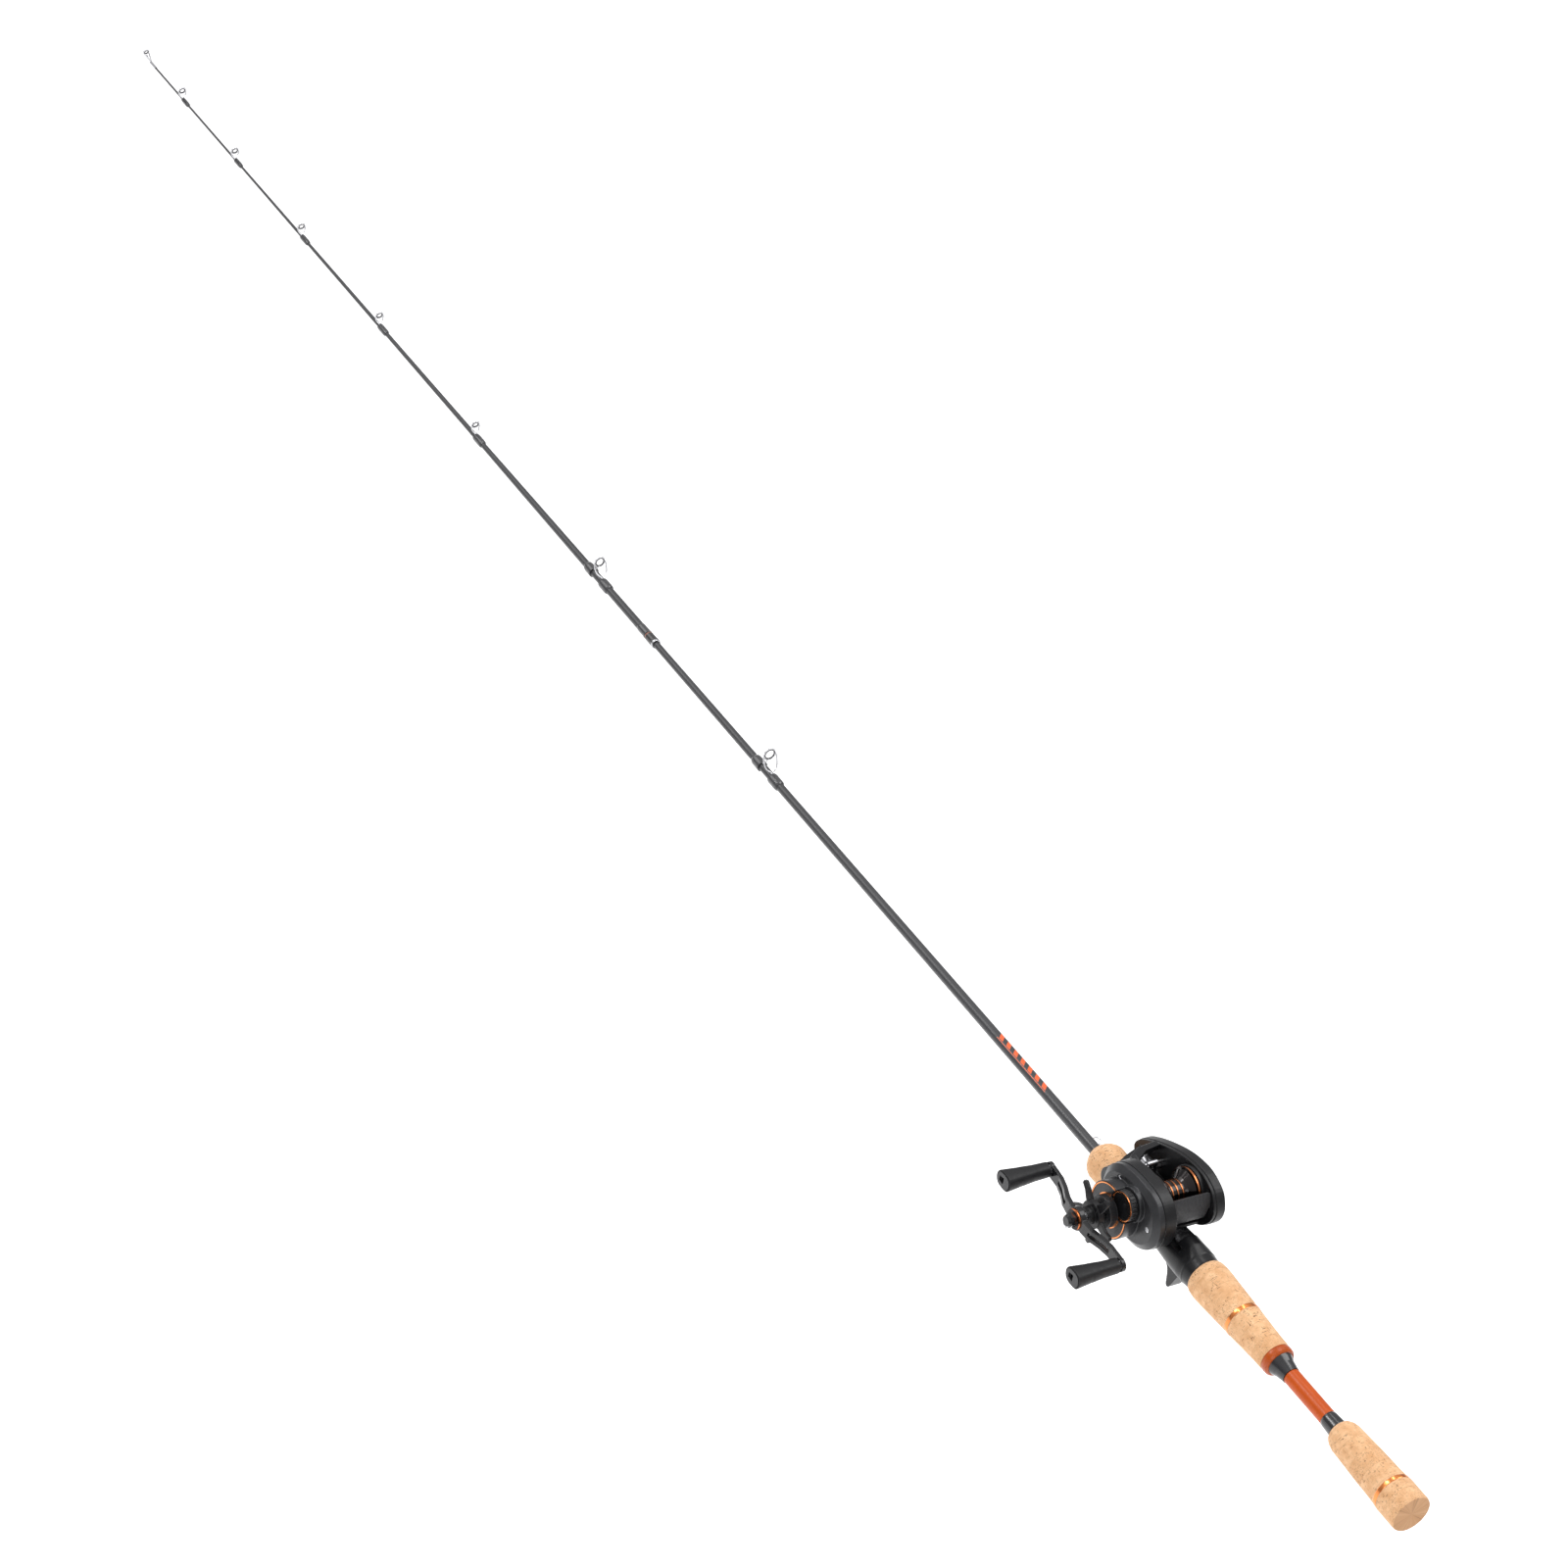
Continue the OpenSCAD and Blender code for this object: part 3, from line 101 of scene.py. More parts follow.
def area(name, loc, aim, size, power, col=(1, 1, 1), size_y=None):
    d = bpy.data.lights.new(name, "AREA")
    d.energy, d.size, d.color = power, size, col
    if size_y:
        d.shape, d.size_y = "RECTANGLE", size_y
    o = bpy.data.objects.new(name, d)
    scene.collection.objects.link(o)
    o.location = loc
    o.rotation_mode = "QUATERNION"
    o.rotation_quaternion = (Vector(aim) - Vector(loc)).to_track_quat("-Z", "Y")
    return o


area("key", (0.1, -1.5, 2.6), (0.9, 0, 0), 1.6, 40, size_y=2.6)
area("fill", (-1.5, 1.7, 1.1), (0.4, 0, 0), 1.2, 9)
area("rim", (2.6, 0.9, 1.6), (0.8, 0, 0), 1.4, 10)
area("streak", (1.5, 1.2, 1.85), (0.2, 0, 0.02), 0.34, 13, size_y=1.3)
area("streak_top", (1.35, -0.5, 2.5), (0.2, 0, 0.02), 0.3, 6, size_y=1.2)

world = bpy.data.worlds.new("studio")
scene.world = world
world.use_nodes = True
wt = world.node_tree
wt.nodes.clear()
wo = wt.nodes.new("ShaderNodeOutputWorld")
wb = wt.nodes.new("ShaderNodeBackground")
wc = wt.nodes.new("ShaderNodeTexCoord")
ws = wt.nodes.new("ShaderNodeSeparateXYZ")
wr = wt.nodes.new("ShaderNodeValToRGB")
wt.links.new(wc.outputs["Generated"], ws.inputs[0])
wt.links.new(ws.outputs["Z"], wr.inputs[0])
wr.color_ramp.elements[0].position, wr.color_ramp.elements[0].color = 0.0, (0.60, 0.60, 0.61, 1)
wr.color_ramp.elements[1].position, wr.color_ramp.elements[1].color = 0.75, (0.95, 0.95, 0.96, 1)
e = wr.color_ramp.elements.new(0.18)
e.color = (0.42, 0.42, 0.43, 1)
wt.links.new(wr.outputs[0], wb.inputs["Color"])
wb.inputs["Strength"].default_value = 0.85
wt.links.new(wb.outputs[0], wo.inputs["Surface"])


# ---------------------------------------------------------------- materials
class Mat:
    """A Principled material with its nodes wired by short calls."""

    def __init__(self, name, **kw):
        self.m = bpy.data.materials.new(name)
        self.m.use_nodes = True
        self.t = self.m.node_tree
        self.b = self.t.nodes["Principled BSDF"]
        for k, v in kw.items():
            self.b.inputs[k].default_value = v
        self.tc = self.t.nodes.new("ShaderNodeTexCoord")
        self.normal = None

    def n(self, kind, **kw):
        x = self.t.nodes.new(kind)
        for k, v in kw.items():
            setattr(x, k, v)
        return x

    def link(self, a, b):
        self.t.links.new(a, b)

    def mapped(self, scale):
        mp = self.n("ShaderNodeMapping")
        mp.inputs["Scale"].default_value = scale
        self.link(self.tc.outputs["Object"], mp.inputs["Vector"])
        return mp.outputs["Vector"]

    def noise(self, scale, detail=3.0, rough=0.55, vec=None, distortion=0.0):
        x = self.n("ShaderNodeTexNoise")
        x.inputs["Scale"].default_value = scale
        x.inputs["Detail"].default_value = detail
        x.inputs["Roughness"].default_value = rough
        x.inputs["Distortion"].default_value = distortion
        self.link(vec or self.tc.outputs["Object"], x.inputs["Vector"])
        return x.outputs["Fac"]

    def math(self, op, a, b=0.0, c=0.0, clamp=False):
        x = self.n("ShaderNodeMath", operation=op, use_clamp=clamp)
        for i, v in enumerate((a, b, c)):
            if hasattr(v, "is_linked"):
                self.link(v, x.inputs[i])
            elif i < len(x.inputs):
                x.inputs[i].default_value = v
        return x.outputs[0]

    def ramp(self, fac, *stops, const=False):
        x = self.n("ShaderNodeValToRGB")
        el = x.color_ramp.elements
        while len(el) < len(stops):
            el.new(0.5)
        for s, (p, c) in zip(el, stops):
            s.position, s.color = p, c if len(c) == 4 else tuple(c) + (1,)
        if const:
            x.color_ramp.interpolation = "CONSTANT"
        self.link(fac, x.inputs[0])
        return x.outputs[0]

    def range(self, fac, a, b, c, d):
        x = self.n("ShaderNodeMapRange")
        for i, v in zip(("From Min", "From Max", "To Min", "To Max"), (a, b, c, d)):
            x.inputs[i].default_value = v
        self.link(fac, x.inputs["Value"])
        return x.outputs[0]

    def mix(self, fac, a, b, kind="MIX"):
        x = self.n("ShaderNodeMix", data_type="RGBA", blend_type=kind)
        for s, v in ((x.inputs[0], fac), (x.inputs[6], a), (x.inputs[7], b)):
            if hasattr(v, "is_linked"):
                self.link(v, s)
            else:
                s.default_value = v
        return x.outputs[2]

    def bump(self, height, strength=0.3, dist=0.0001):
        x = self.n("ShaderNodeBump")
        x.inputs["Strength"].default_value = strength
        x.inputs["Distance"].default_value = dist
        self.link(height, x.inputs["Height"])
        if self.normal:
            self.link(self.normal, x.inputs["Normal"])
        self.normal = x.outputs[0]
        self.link(self.normal, self.b.inputs["Normal"])
        return self

    def color(self, c):
        self.link(c, self.b.inputs["Base Color"])
        return self

    def rough(self, r):
        self.link(r, self.b.inputs["Roughness"])
        return self

    def geom(self, what):
        s = self.n("ShaderNodeSeparateXYZ")
        self.link(self.tc.outputs[what], s.inputs[0])
        return s.outputs

    def xyz(self):
        s = self.n("ShaderNodeSeparateXYZ")
        self.link(self.tc.outputs["Object"], s.inputs[0])
        return s.outputs


def satin(name, col, rough, grain=2600, bump=0.25, vary=0.25, metallic=0.0, coat=0.0, spec=0.5, wear=None):
    """Painted or moulded satin surface: fine orange-peel grain, uneven gloss, paler worn edges."""
    a = Mat(name, Metallic=metallic)
    a.b.inputs["Specular IOR Level"].default_value = spec
    a.b.inputs["Coat Weight"].default_value = coat
    a.b.inputs["Coat Roughness"].default_value = 0.12
    big = a.noise(90, 4)
    c = a.mix(a.range(big, 0.3, 0.7, 0, 1), shade(col, 1 - vary), shade(col, 1 + vary))
    if wear:
        g = a.n("ShaderNodeNewGeometry")
        edge = a.range(g.outputs["Pointiness"], 0.53, 0.62, 0, 1)
        edge = a.math("MULTIPLY", edge, a.range(a.noise(420, 5), 0.45, 0.65, 0.0, 1.0), clamp=True)
        c = a.mix(edge, c, wear)
    a.color(c)
    a.rough(a.range(a.noise(240, 5), 0.25, 0.75, rough * 0.82, min(1, rough * 1.2)))
    a.bump(a.noise(grain, 2), bump, 0.00006)
    return a


def metal(name, col, rough, streak=None, coat=0.0, vary=0.12):
    """Bare, plated or anodised metal: uneven gloss, or turning marks where streak gives the noise's scale per axis."""
    a = Mat(name, Metallic=1.0)
    a.b.inputs["Coat Weight"].default_value = coat
    vec = a.mapped(streak) if streak else None
    f = a.noise(1.0 if streak else 500, 4, vec=vec)
    a.color(a.mix(f, shade(col, 1 - vary), shade(col, 1 + vary)))
    a.rough(a.range(f, 0.3, 0.7, rough * 0.75, rough * 1.3))
    a.bump(f, 0.12, 0.00003)
    return a


def cork(name, seed, lo, pitch=12.7 * mm):
    """Glued cork rings: a tone for each ring, fine grain, short dark lenticels, filled pits and hairline joints."""
    a = Mat(name)
    a.b.inputs["Specular IOR Level"].default_value = 0.18
    a.b.inputs["Sheen Weight"].default_value = 0.10
    x, y, z = a.xyz()[0], a.xyz()[1], a.xyz()[2]
    ang = a.math("ARCTAN2", y, z)
    xs = a.math("SUBTRACT", x, lo)
    ring = a.math("DIVIDE", xs, pitch)
    idx = a.math("FLOOR", ring)
    cyl = a.n("ShaderNodeCombineXYZ")
    a.link(a.math("ADD", xs, a.math("MULTIPLY", idx, 0.31 + seed)), cyl.inputs[0])
    a.link(a.math("MULTIPLY", ang, 0.014), cyl.inputs[1])
    a.link(a.math("MULTIPLY", idx, 0.173 + seed), cyl.inputs[2])
    v = cyl.outputs[0]
    # soft mottling and fine grain
    mottle = a.range(a.noise(160, 5, 0.6, vec=v), 0.3, 0.7, 0, 1)
    base = a.mix(mottle, lin(216, 166, 120), lin(250, 208, 164))
    grain = a.range(a.noise(1500, 3, 0.7, vec=v), 0.35, 0.75, 0, 0.55)
    base = a.mix(grain, base, lin(214, 160, 112))
    wn = a.n("ShaderNodeTexWhiteNoise", noise_dimensions="1D")
    a.link(a.math("ADD", idx, seed * 37.0), wn.inputs["W"])
    base = a.mix(a.range(wn.outputs["Value"], 0, 1, 0.0, 0.32), base, lin(205, 150, 100))
    # lenticels: short thin dark dashes, some along the rod and some around it, in loose groups
    def streaks(scale, lo_, hi_):
        mp = a.n("ShaderNodeMapping")
        mp.inputs["Scale"].default_value = scale
        a.link(v, mp.inputs["Vector"])
        return a.range(a.noise(1.0, 1.5, 0.5, vec=mp.outputs[0]), lo_, hi_, 0, 1)

    group = a.range(a.noise(75, 2, vec=v), 0.42, 0.62, 0.25, 1.0)
    dash = a.math("MULTIPLY", streaks((1500, 330, 900), 0.640, 0.685), group, clamp=True)
    dash2 = a.math("MULTIPLY", streaks((300, 1500, 900), 0.650, 0.695), group, clamp=True)
    dots = a.n("ShaderNodeTexVoronoi", feature="F1")
    dots.inputs["Scale"].default_value = 1100
    a.link(v, dots.inputs["Vector"])
    dsel = a.n("ShaderNodeSeparateColor")
    a.link(dots.outputs["Color"], dsel.inputs[0])
    near = a.range(dots.outputs["Distance"], 0.15, 0.35, 0.7, 0)
    speck = a.math("MULTIPLY", near, a.range(dsel.outputs[2], 0.76, 0.82, 0, 1), clamp=True)
    pits = a.math("MAXIMUM", a.math("MAXIMUM", dash, dash2), speck)
    base = a.mix(a.math("MULTIPLY", pits, 0.9), base, lin(96, 62, 38))
    # hairline joints between the rings
    fr = a.math("FRACT", ring)
    joint = a.range(a.math("ABSOLUTE", a.math("SUBTRACT", fr, 0.5)), 0.488, 0.4985, 0, 0.5)
    base = a.mix(joint, base, lin(165, 116, 74))
    # painted shade: flat end faces, whose normals run along the rod, are darkened because they turn away from the
    # lights
    end = a.range(a.math("ABSOLUTE", a.geom("Normal")[0]), 0.80, 0.97, 0, 0.42)
    base = a.mix(end, base, lin(158, 112, 76))
    a.color(base)
    a.rough(a.range(a.noise(600, 4, vec=v), 0.2, 0.8, 0.72, 0.93))
    a.bump(a.math("SUBTRACT", a.noise(1900, 3, vec=v), a.math("MULTIPLY", pits, 2.2)), 0.35, 0.00016)
    return a


M = {}
M["cork_butt"] = cork("cork_butt", 0.11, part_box("butt_grip")[0].x - 2 * mm)
M["cork_rear"] = cork("cork_rear", 0.37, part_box("rear_grip")[0].x - 3 * mm)
M["cork_fore"] = cork("cork_fore", 0.71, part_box("foregrip")[0].x - 3 * mm)
M["black"] = satin("satin_black", (0.0075, 0.0075, 0.0085, 1), 0.36, bump=0.35, vary=0.22, spec=0.34,
                   wear=(0.09, 0.09, 0.095, 1))
M["seat"] = satin("seat_black", (0.0065, 0.0065, 0.0075, 1), 0.32, grain=1800, bump=0.18, spec=0.34,
                  wear=(0.05, 0.05, 0.055, 1))
M["graphite"] = satin("graphite_paint", (0.026, 0.0265, 0.029, 1), 0.34, grain=3200, bump=0.22, vary=0.18,
                      metallic=0.30, coat=0.12, spec=0.4, wear=(0.22, 0.22, 0.24, 1))
M["gloss"] = satin("gloss_black", (0.006, 0.006, 0.007, 1), 0.18, grain=900, bump=0.05, vary=0.3, coat=0.12,
                   spec=0.45, wear=(0.06, 0.06, 0.065, 1))
M["rubber"] = satin("soft_touch", (0.0085, 0.0085, 0.0095, 1), 0.50, grain=2400, bump=0.55, spec=0.34)
M["cap"] = satin("knob_end", (0.017, 0.017, 0.019, 1), 0.34, grain=3000, bump=0.2, coat=0.1, spec=0.4)
M["check"] = satin("check_black", (0.010, 0.010, 0.012, 1), 0.20, grain=700, bump=0.05, vary=0.3, coat=0.35,
                   spec=0.6)
M["copper"] = metal("copper_anodised", (0.86, 0.29, 0.085, 1), 0.20, coat=0.25)
M["steel"] = metal("turned_steel", (0.60, 0.60, 0.62, 1), 0.26, streak=(900, 5000, 900))
M["chrome"] = metal("polished_chrome", (0.66, 0.66, 0.68, 1), 0.07, vary=0.05)
M["brass"] = metal("machined_brass", (0.72, 0.50, 0.20, 1), 0.24, streak=(900, 4000, 900))
M["spool"] = metal("spool_gloss_dark", (0.030, 0.026, 0.026, 1), 0.16, streak=(500, 6000, 500), coat=0.3)
M["silver"] = metal("satin_silver", (0.50, 0.50, 0.52, 1), 0.30, coat=0.2)
M["nylon"] = satin("nylon", (0.62, 0.62, 0.58, 1), 0.45, vary=0.08)
M["washer"] = metal("drag_disc", (0.20, 0.19, 0.18, 1), 0.4)
M["copper_dark"] = metal("copper_dark", (0.50, 0.165, 0.055, 1), 0.24, coat=0.3)

# washer under the handle nut: dark dished middle, thin copper-red rim
wa = Mat("handle_washer", Metallic=1.0)
wlo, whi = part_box("handle_washer")
wx, wz, w_rad = (wlo.x + whi.x) / 2, (wlo.z + whi.z) / 2, (whi.z - wlo.z) / 2
wq = wa.xyz()
dx2 = wa.math("POWER", wa.math("SUBTRACT", wq[0], wx), 2.0)
dz2 = wa.math("POWER", wa.math("SUBTRACT", wq[2], wz), 2.0)
from_axis = wa.math("DIVIDE", wa.math("SQRT", wa.math("ADD", dx2, dz2)), w_rad)
wcol = wa.ramp(from_axis, (0.0, (0.02, 0.02, 0.022)), (0.84, (0.03, 0.026, 0.026)),
               (0.90, (0.62, 0.17, 0.05)), (1.0, (0.74, 0.22, 0.07)))
wa.color(wa.mix(wa.range(wa.noise(700, 4), 0, 1, 0, 0.3), wcol, (0.02, 0.02, 0.02, 1)))
wa.rough(wa.range(wa.noise(900, 3), 0.2, 0.8, 0.18, 0.30))
wa.bump(wa.noise(800, 3), 0.1, 0.00004)
M["handle_washer"] = wa

# thumb bar: moulded grip with fine ribs along the rod, coloured with painted shade that is darker in the grooves
tb = Mat("thumb_bar_grip")
ty = tb.xyz()[1]
rib = tb.math("PINGPONG", tb.math("DIVIDE", ty, 0.0011), 0.5)
# painted shade: the colour follows the rib height, dark in the grooves between ribs and lighter on the crests
tb.color(tb.mix(tb.range(rib, 0.05, 0.35, 0, 1), (0.010, 0.010, 0.011, 1), (0.034, 0.034, 0.037, 1)))
tb.rough(tb.range(tb.noise(300, 4), 0.3, 0.7, 0.42, 0.58))
tb.bump(tb.range(rib, 0.05, 0.4, 0, 1), 0.8, 0.00035)
tb.bump(tb.noise(2400, 2), 0.4, 0.00006)
M["bar"] = tb

# end ring of the rear grip: deep copper-orange lacquer
orr = Mat("orange_deep")
orr.b.inputs["Coat Weight"].default_value = 0.15
orr.b.inputs["Specular IOR Level"].default_value = 0.35
orr.b.inputs["Coat Roughness"].default_value = 0.10
orr.color(orr.mix(orr.noise(300, 5), lin(158, 62, 0), lin(192, 84, 2)))
orr.rough(orr.range(orr.noise(500, 4), 0.3, 0.7, 0.22, 0.34))
orr.bump(orr.noise(1400, 2), 0.1, 0.00005)
M["orange_deep"] = orr
cer = Mat("ceramic_dark", Roughness=0.08)
cer.b.inputs["Coat Weight"].default_value = 0.5
cer.color(cer.mix(cer.noise(900, 4), (0.012, 0.012, 0.014, 1), (0.030, 0.030, 0.034, 1)))
cer.rough(cer.range(cer.noise(1500, 3), 0.3, 0.7, 0.06, 0.14))
M["ceramic"] = cer

# orange lacquer with a soft clear coat
o = Mat("orange_lacquer")
o.b.inputs["Coat Weight"].default_value = 0.10
o.b.inputs["Specular IOR Level"].default_value = 0.3
o.b.inputs["Coat Roughness"].default_value = 0.18
o.color(o.mix(o.noise(140, 5, vec=o.mapped((0.4, 1, 1))), lin(176, 66, 0), lin(206, 88, 2)))
o.rough(o.range(o.noise(500, 4), 0.3, 0.7, 0.30, 0.42))
o.bump(o.noise(1400, 2), 0.1, 0.00005)
M["orange"] = o

# dark fibre blank under satin clear coat, with a plain row of orange slashes ahead of the front grip
b = Mat("carbon_blank")
b.b.inputs["Coat Weight"].default_value = 0.3
b.b.inputs["Coat Roughness"].default_value = 0.2
bx = b.xyz()
fib = b.noise(1.0, 5, 0.6, vec=b.mapped((60, 2600, 2600)))
base = b.mix(fib, (0.020, 0.020, 0.022, 1), (0.044, 0.044, 0.048, 1))
speck = b.range(b.noise(3800, 2), 0.62, 0.72, 0, 0.5)
base = b.mix(speck, base, (0.12, 0.12, 0.125, 1))
ang = b.math("ARCTAN2", bx[1], bx[2])
arc = b.math("MULTIPLY", b.math("SUBTRACT", ang, -0.10), 0.0042)
zx = bx[0]
z0, z1 = 0.431, 0.495
pitch = 0.0094
slant = b.math("ADD", zx, b.math("MULTIPLY", arc, 0.9))
ph = b.math("FRACT", b.math("DIVIDE", b.math("SUBTRACT", slant, z0), pitch))
bars = b.math("MULTIPLY", b.range(ph, 0.50, 0.53, 1, 0), b.range(ph, 0.0, 0.03, 0, 1), clamp=True)
inside = b.math("MULTIPLY", b.math("GREATER_THAN", slant, z0), b.math("LESS_THAN", slant, z1))
band = b.math("LESS_THAN", b.math("ABSOLUTE", arc), 0.0026)
slash = b.math("MULTIPLY", b.math("MULTIPLY", bars, inside), band)
off_line = b.math("ABSOLUTE", b.math("ADD", arc, -0.0034))
line = b.math("MULTIPLY", b.math("LESS_THAN", off_line, 0.00022), inside)
paint = b.math("MAXIMUM", slash, line)
b.color(b.mix(paint, base, lin(232, 96, 40)))
b.rough(b.range(b.noise(700, 4), 0.3, 0.7, 0.34, 0.46))
b.bump(b.math("ADD", fib, b.math("MULTIPLY", paint, 0.4)), 0.12, 0.00004)
M["blank"] = b

# dark thread under epoxy
w = Mat("wrap_epoxy")
w.b.inputs["Coat Weight"].default_value = 0.7
w.b.inputs["Coat Roughness"].default_value = 0.10
wv = w.n("ShaderNodeTexWave", wave_type="BANDS", bands_direction="X")
wv.inputs["Scale"].default_value = 900
wv.inputs["Distortion"].default_value = 0.4
w.link(w.tc.outputs["Object"], wv.inputs["Vector"])
w.color(w.mix(wv.outputs["Fac"], (0.024, 0.024, 0.026, 1), (0.050, 0.050, 0.054, 1)))
w.rough(w.range(w.noise(300, 4), 0.3, 0.7, 0.16, 0.30))
w.bump(w.math("ADD", w.math("MULTIPLY", wv.outputs["Fac"], 0.4), w.noise(220, 2)), 0.25, 0.00008)
M["epoxy"] = w

# ferrule collar: bright rolled ring, dark sleeve, thin copper-red line
fl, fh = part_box("ferrule_collar")
f = Mat("ferrule_collar")
f.b.inputs["Coat Weight"].default_value = 0.4
fx = f.xyz()[0]
t = f.range(fx, fl.x, fh.x, 0, 1)
ring_c = f.ramp(t, (0.0, (0.60, 0.60, 0.62)), (0.13, (0.040, 0.038, 0.038)), (0.86, (0.34, 0.12, 0.07)),
                (0.95, (0.03, 0.03, 0.03)), const=True)
f.color(f.mix(f.range(f.noise(800, 4), 0, 1, 0, 0.35), ring_c, (0.02, 0.02, 0.02, 1)))
f.link(f.ramp(t, (0.0, (1, 1, 1)), (0.13, (0.2, 0.2, 0.2)), const=True), f.b.inputs["Metallic"])
f.rough(f.range(f.noise(900, 3), 0.2, 0.8, 0.16, 0.30))
f.bump(f.noise(700, 3), 0.12, 0.00005)
M["ferrule"] = f

NODES_OF = {
    "cork_butt": "butt_grip",
    "cork_rear": "rear_grip",
    "cork_fore": "foregrip",
    "copper": "butt_trim_ring rear_grip_ring cover_trim tension_trim",
    "orange_deep": "grip_end_ring",
    "orange": "orange_sleeve",
    "check": "butt_check grip_cone",
    "seat": "reel_seat sliding_hood lock_nut",
    "blank": "butt_blank tip_blank",
    "chrome": "hook_keeper guide_1_frame guide_2_frame small_guide_frames tip_top_frame",
    "ferrule": "ferrule_collar",
    "ceramic": "guide_1_ring tip_guide_rings line_guide_ring",
    "epoxy": "butt_wraps tip_wraps",
    "black": "reel_frame reel_foot palm_plate tension_knob star_drag",
    "graphite": "gear_cover",
    "steel": "cover_screws spool_shaft spool_bearings clutch_yoke drive_shaft "
             "one_way_bearing retainer_screw knob_posts worm_shaft guide_rod",
    "silver": "brake_dial nut_retainer line_guide",
    "spool": "spool",
    "copper_dark": "spool_rings",
    "brass": "pinion_gear drive_gear",
    "washer": "drag_washers",
    "gloss": "handle_arm handle_nut",
    "handle_washer": "handle_washer",
    "rubber": "knob_1 knob_2",
    "cap": "knob_cap_1 knob_cap_2",
    "nylon": "idler_gear",
    "bar": "thumb_bar",
}
USE = {node: key for key, nodes in NODES_OF.items() for node in nodes.split()}


def paint(o, key):
    o.data.materials.clear()
    o.data.materials.append(M[key].m)


for n, o in N.items():
    paint(o, USE[n])


# ---------------------------------------------------------------- mesh helpers
def piece(name, me, key, body, replaces=(), smooth=35):
    o = bpy.data.objects.new(name, me)
    scene.collection.objects.link(o)
    me.shade_smooth()
    if smooth:
        me.set_sharp_from_angle(angle=math.radians(smooth))
    o.data.materials.clear()
    o.data.materials.append(M[key].m)
    if replaces:
        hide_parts(*replaces)
    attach(o, body)
    return o


def apply_mods(o):
    dg = bpy.context.evaluated_depsgraph_get()
    me = bpy.data.meshes.new_from_object(o.evaluated_get(dg), depsgraph=dg)
    o.modifiers.clear()
    old = o.data
    o.data = me
    bpy.data.meshes.remove(old)
    return o


def copy_of(node):
    bm = bmesh.new()
    bm.from_mesh(N[node].data)
    bmesh.ops.remove_doubles(bm, verts=bm.verts, dist=2e-6)
    me = bpy.data.meshes.new(node + "_look")
    bm.to_mesh(me)
    bm.free()
    o = bpy.data.objects.new(node + "_look", me)
    scene.collection.objects.link(o)
    return o


def soften(node, voxel, rounds=4, keep=0.35):
    """A moulded or cast look for a CAD node: its own shape, edges rounded and inner corners filleted."""
    o = copy_of(node)
    r = o.modifiers.new("r", "REMESH")
    r.mode, r.voxel_size = "VOXEL", voxel * mm * 1.0
    s = o.modifiers.new("s", "SMOOTH")
    s.iterations, s.factor = rounds, 0.5
    d = o.modifiers.new("d", "DECIMATE")
    d.ratio = keep
    apply_mods(o)
    me = o.data
    me.shade_smooth()
    me.materials.clear()
    me.materials.append(M[USE[node]].m)
    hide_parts(node)
    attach(o, BODY[node])
    return o


def grid_mesh(name, rings, close=True, caps=(True, True)):
    """Skin over rings of points, one after another."""
    verts = [p for r in rings for p in r]
    k = len(rings[0])
    faces = []
    for i in range(len(rings) - 1):
        for j in range(k if close else k - 1):
            a, c = i * k + j, i * k + (j + 1) % k
            faces.append((a, c, c + k, a + k))
    if caps[0]:
        faces.append(tuple(reversed(range(k))))
    if caps[1]:
        faces.append(tuple((len(rings) - 1) * k + j for j in range(k)))
    me = bpy.data.meshes.new(name)
    me.from_pydata([tuple(v) for v in verts], [], faces)
    bm = bmesh.new()
    bm.from_mesh(me)
    bmesh.ops.recalc_face_normals(bm, faces=bm.faces)
    bm.to_mesh(me)
    bm.free()
    return me


def spline(pts, per=8):
    pts = [Vector(p) for p in pts]
    ext = [pts[0] * 2 - pts[1]] + pts + [pts[-1] * 2 - pts[-2]]
    out = []
    for i in range(1, len(ext) - 2):
        a, b, c, d = ext[i - 1:i + 3]
        for j in range(per):
            t = j / per
            square, cube = 2 * a - 5 * b + 4 * c - d, 3 * b - a - 3 * c + d
            out.append(0.5 * ((2 * b) + (c - a) * t + square * t * t + cube * t ** 3))
    out.append(pts[-1])
    return out


def tube_rings(path, radius, n=12):
    """Rings of a round wire along a path; radius is a number or a list."""
    rings = []
    tangent = (path[1] - path[0]).normalized()
    ref = Vector((0, 0, 1)) if abs(tangent.z) < 0.9 else Vector((1, 0, 0))
    u = tangent.cross(ref).normalized()
    for i, p in enumerate(path):
        a, c = path[max(0, i - 1)], path[min(len(path) - 1, i + 1)]
        t = (c - a).normalized()
        u = (u - t * u.dot(t)).normalized()
        v = t.cross(u)
        r = radius[i] if isinstance(radius, list) else radius
        turns = [2 * math.pi * j / n for j in range(n)]
        rings.append([p + (u * math.cos(q) + v * math.sin(q)) * r for q in turns])
    return rings


def join(name, meshes):
    bm = bmesh.new()
    for m_ in meshes:
        bm.from_mesh(m_)
        bpy.data.meshes.remove(m_)
    me = bpy.data.meshes.new(name)
    bm.to_mesh(me)
    bm.free()
    return me


def tube(path, radius, n=12):
    return grid_mesh("t", tube_rings(path, radius, n))


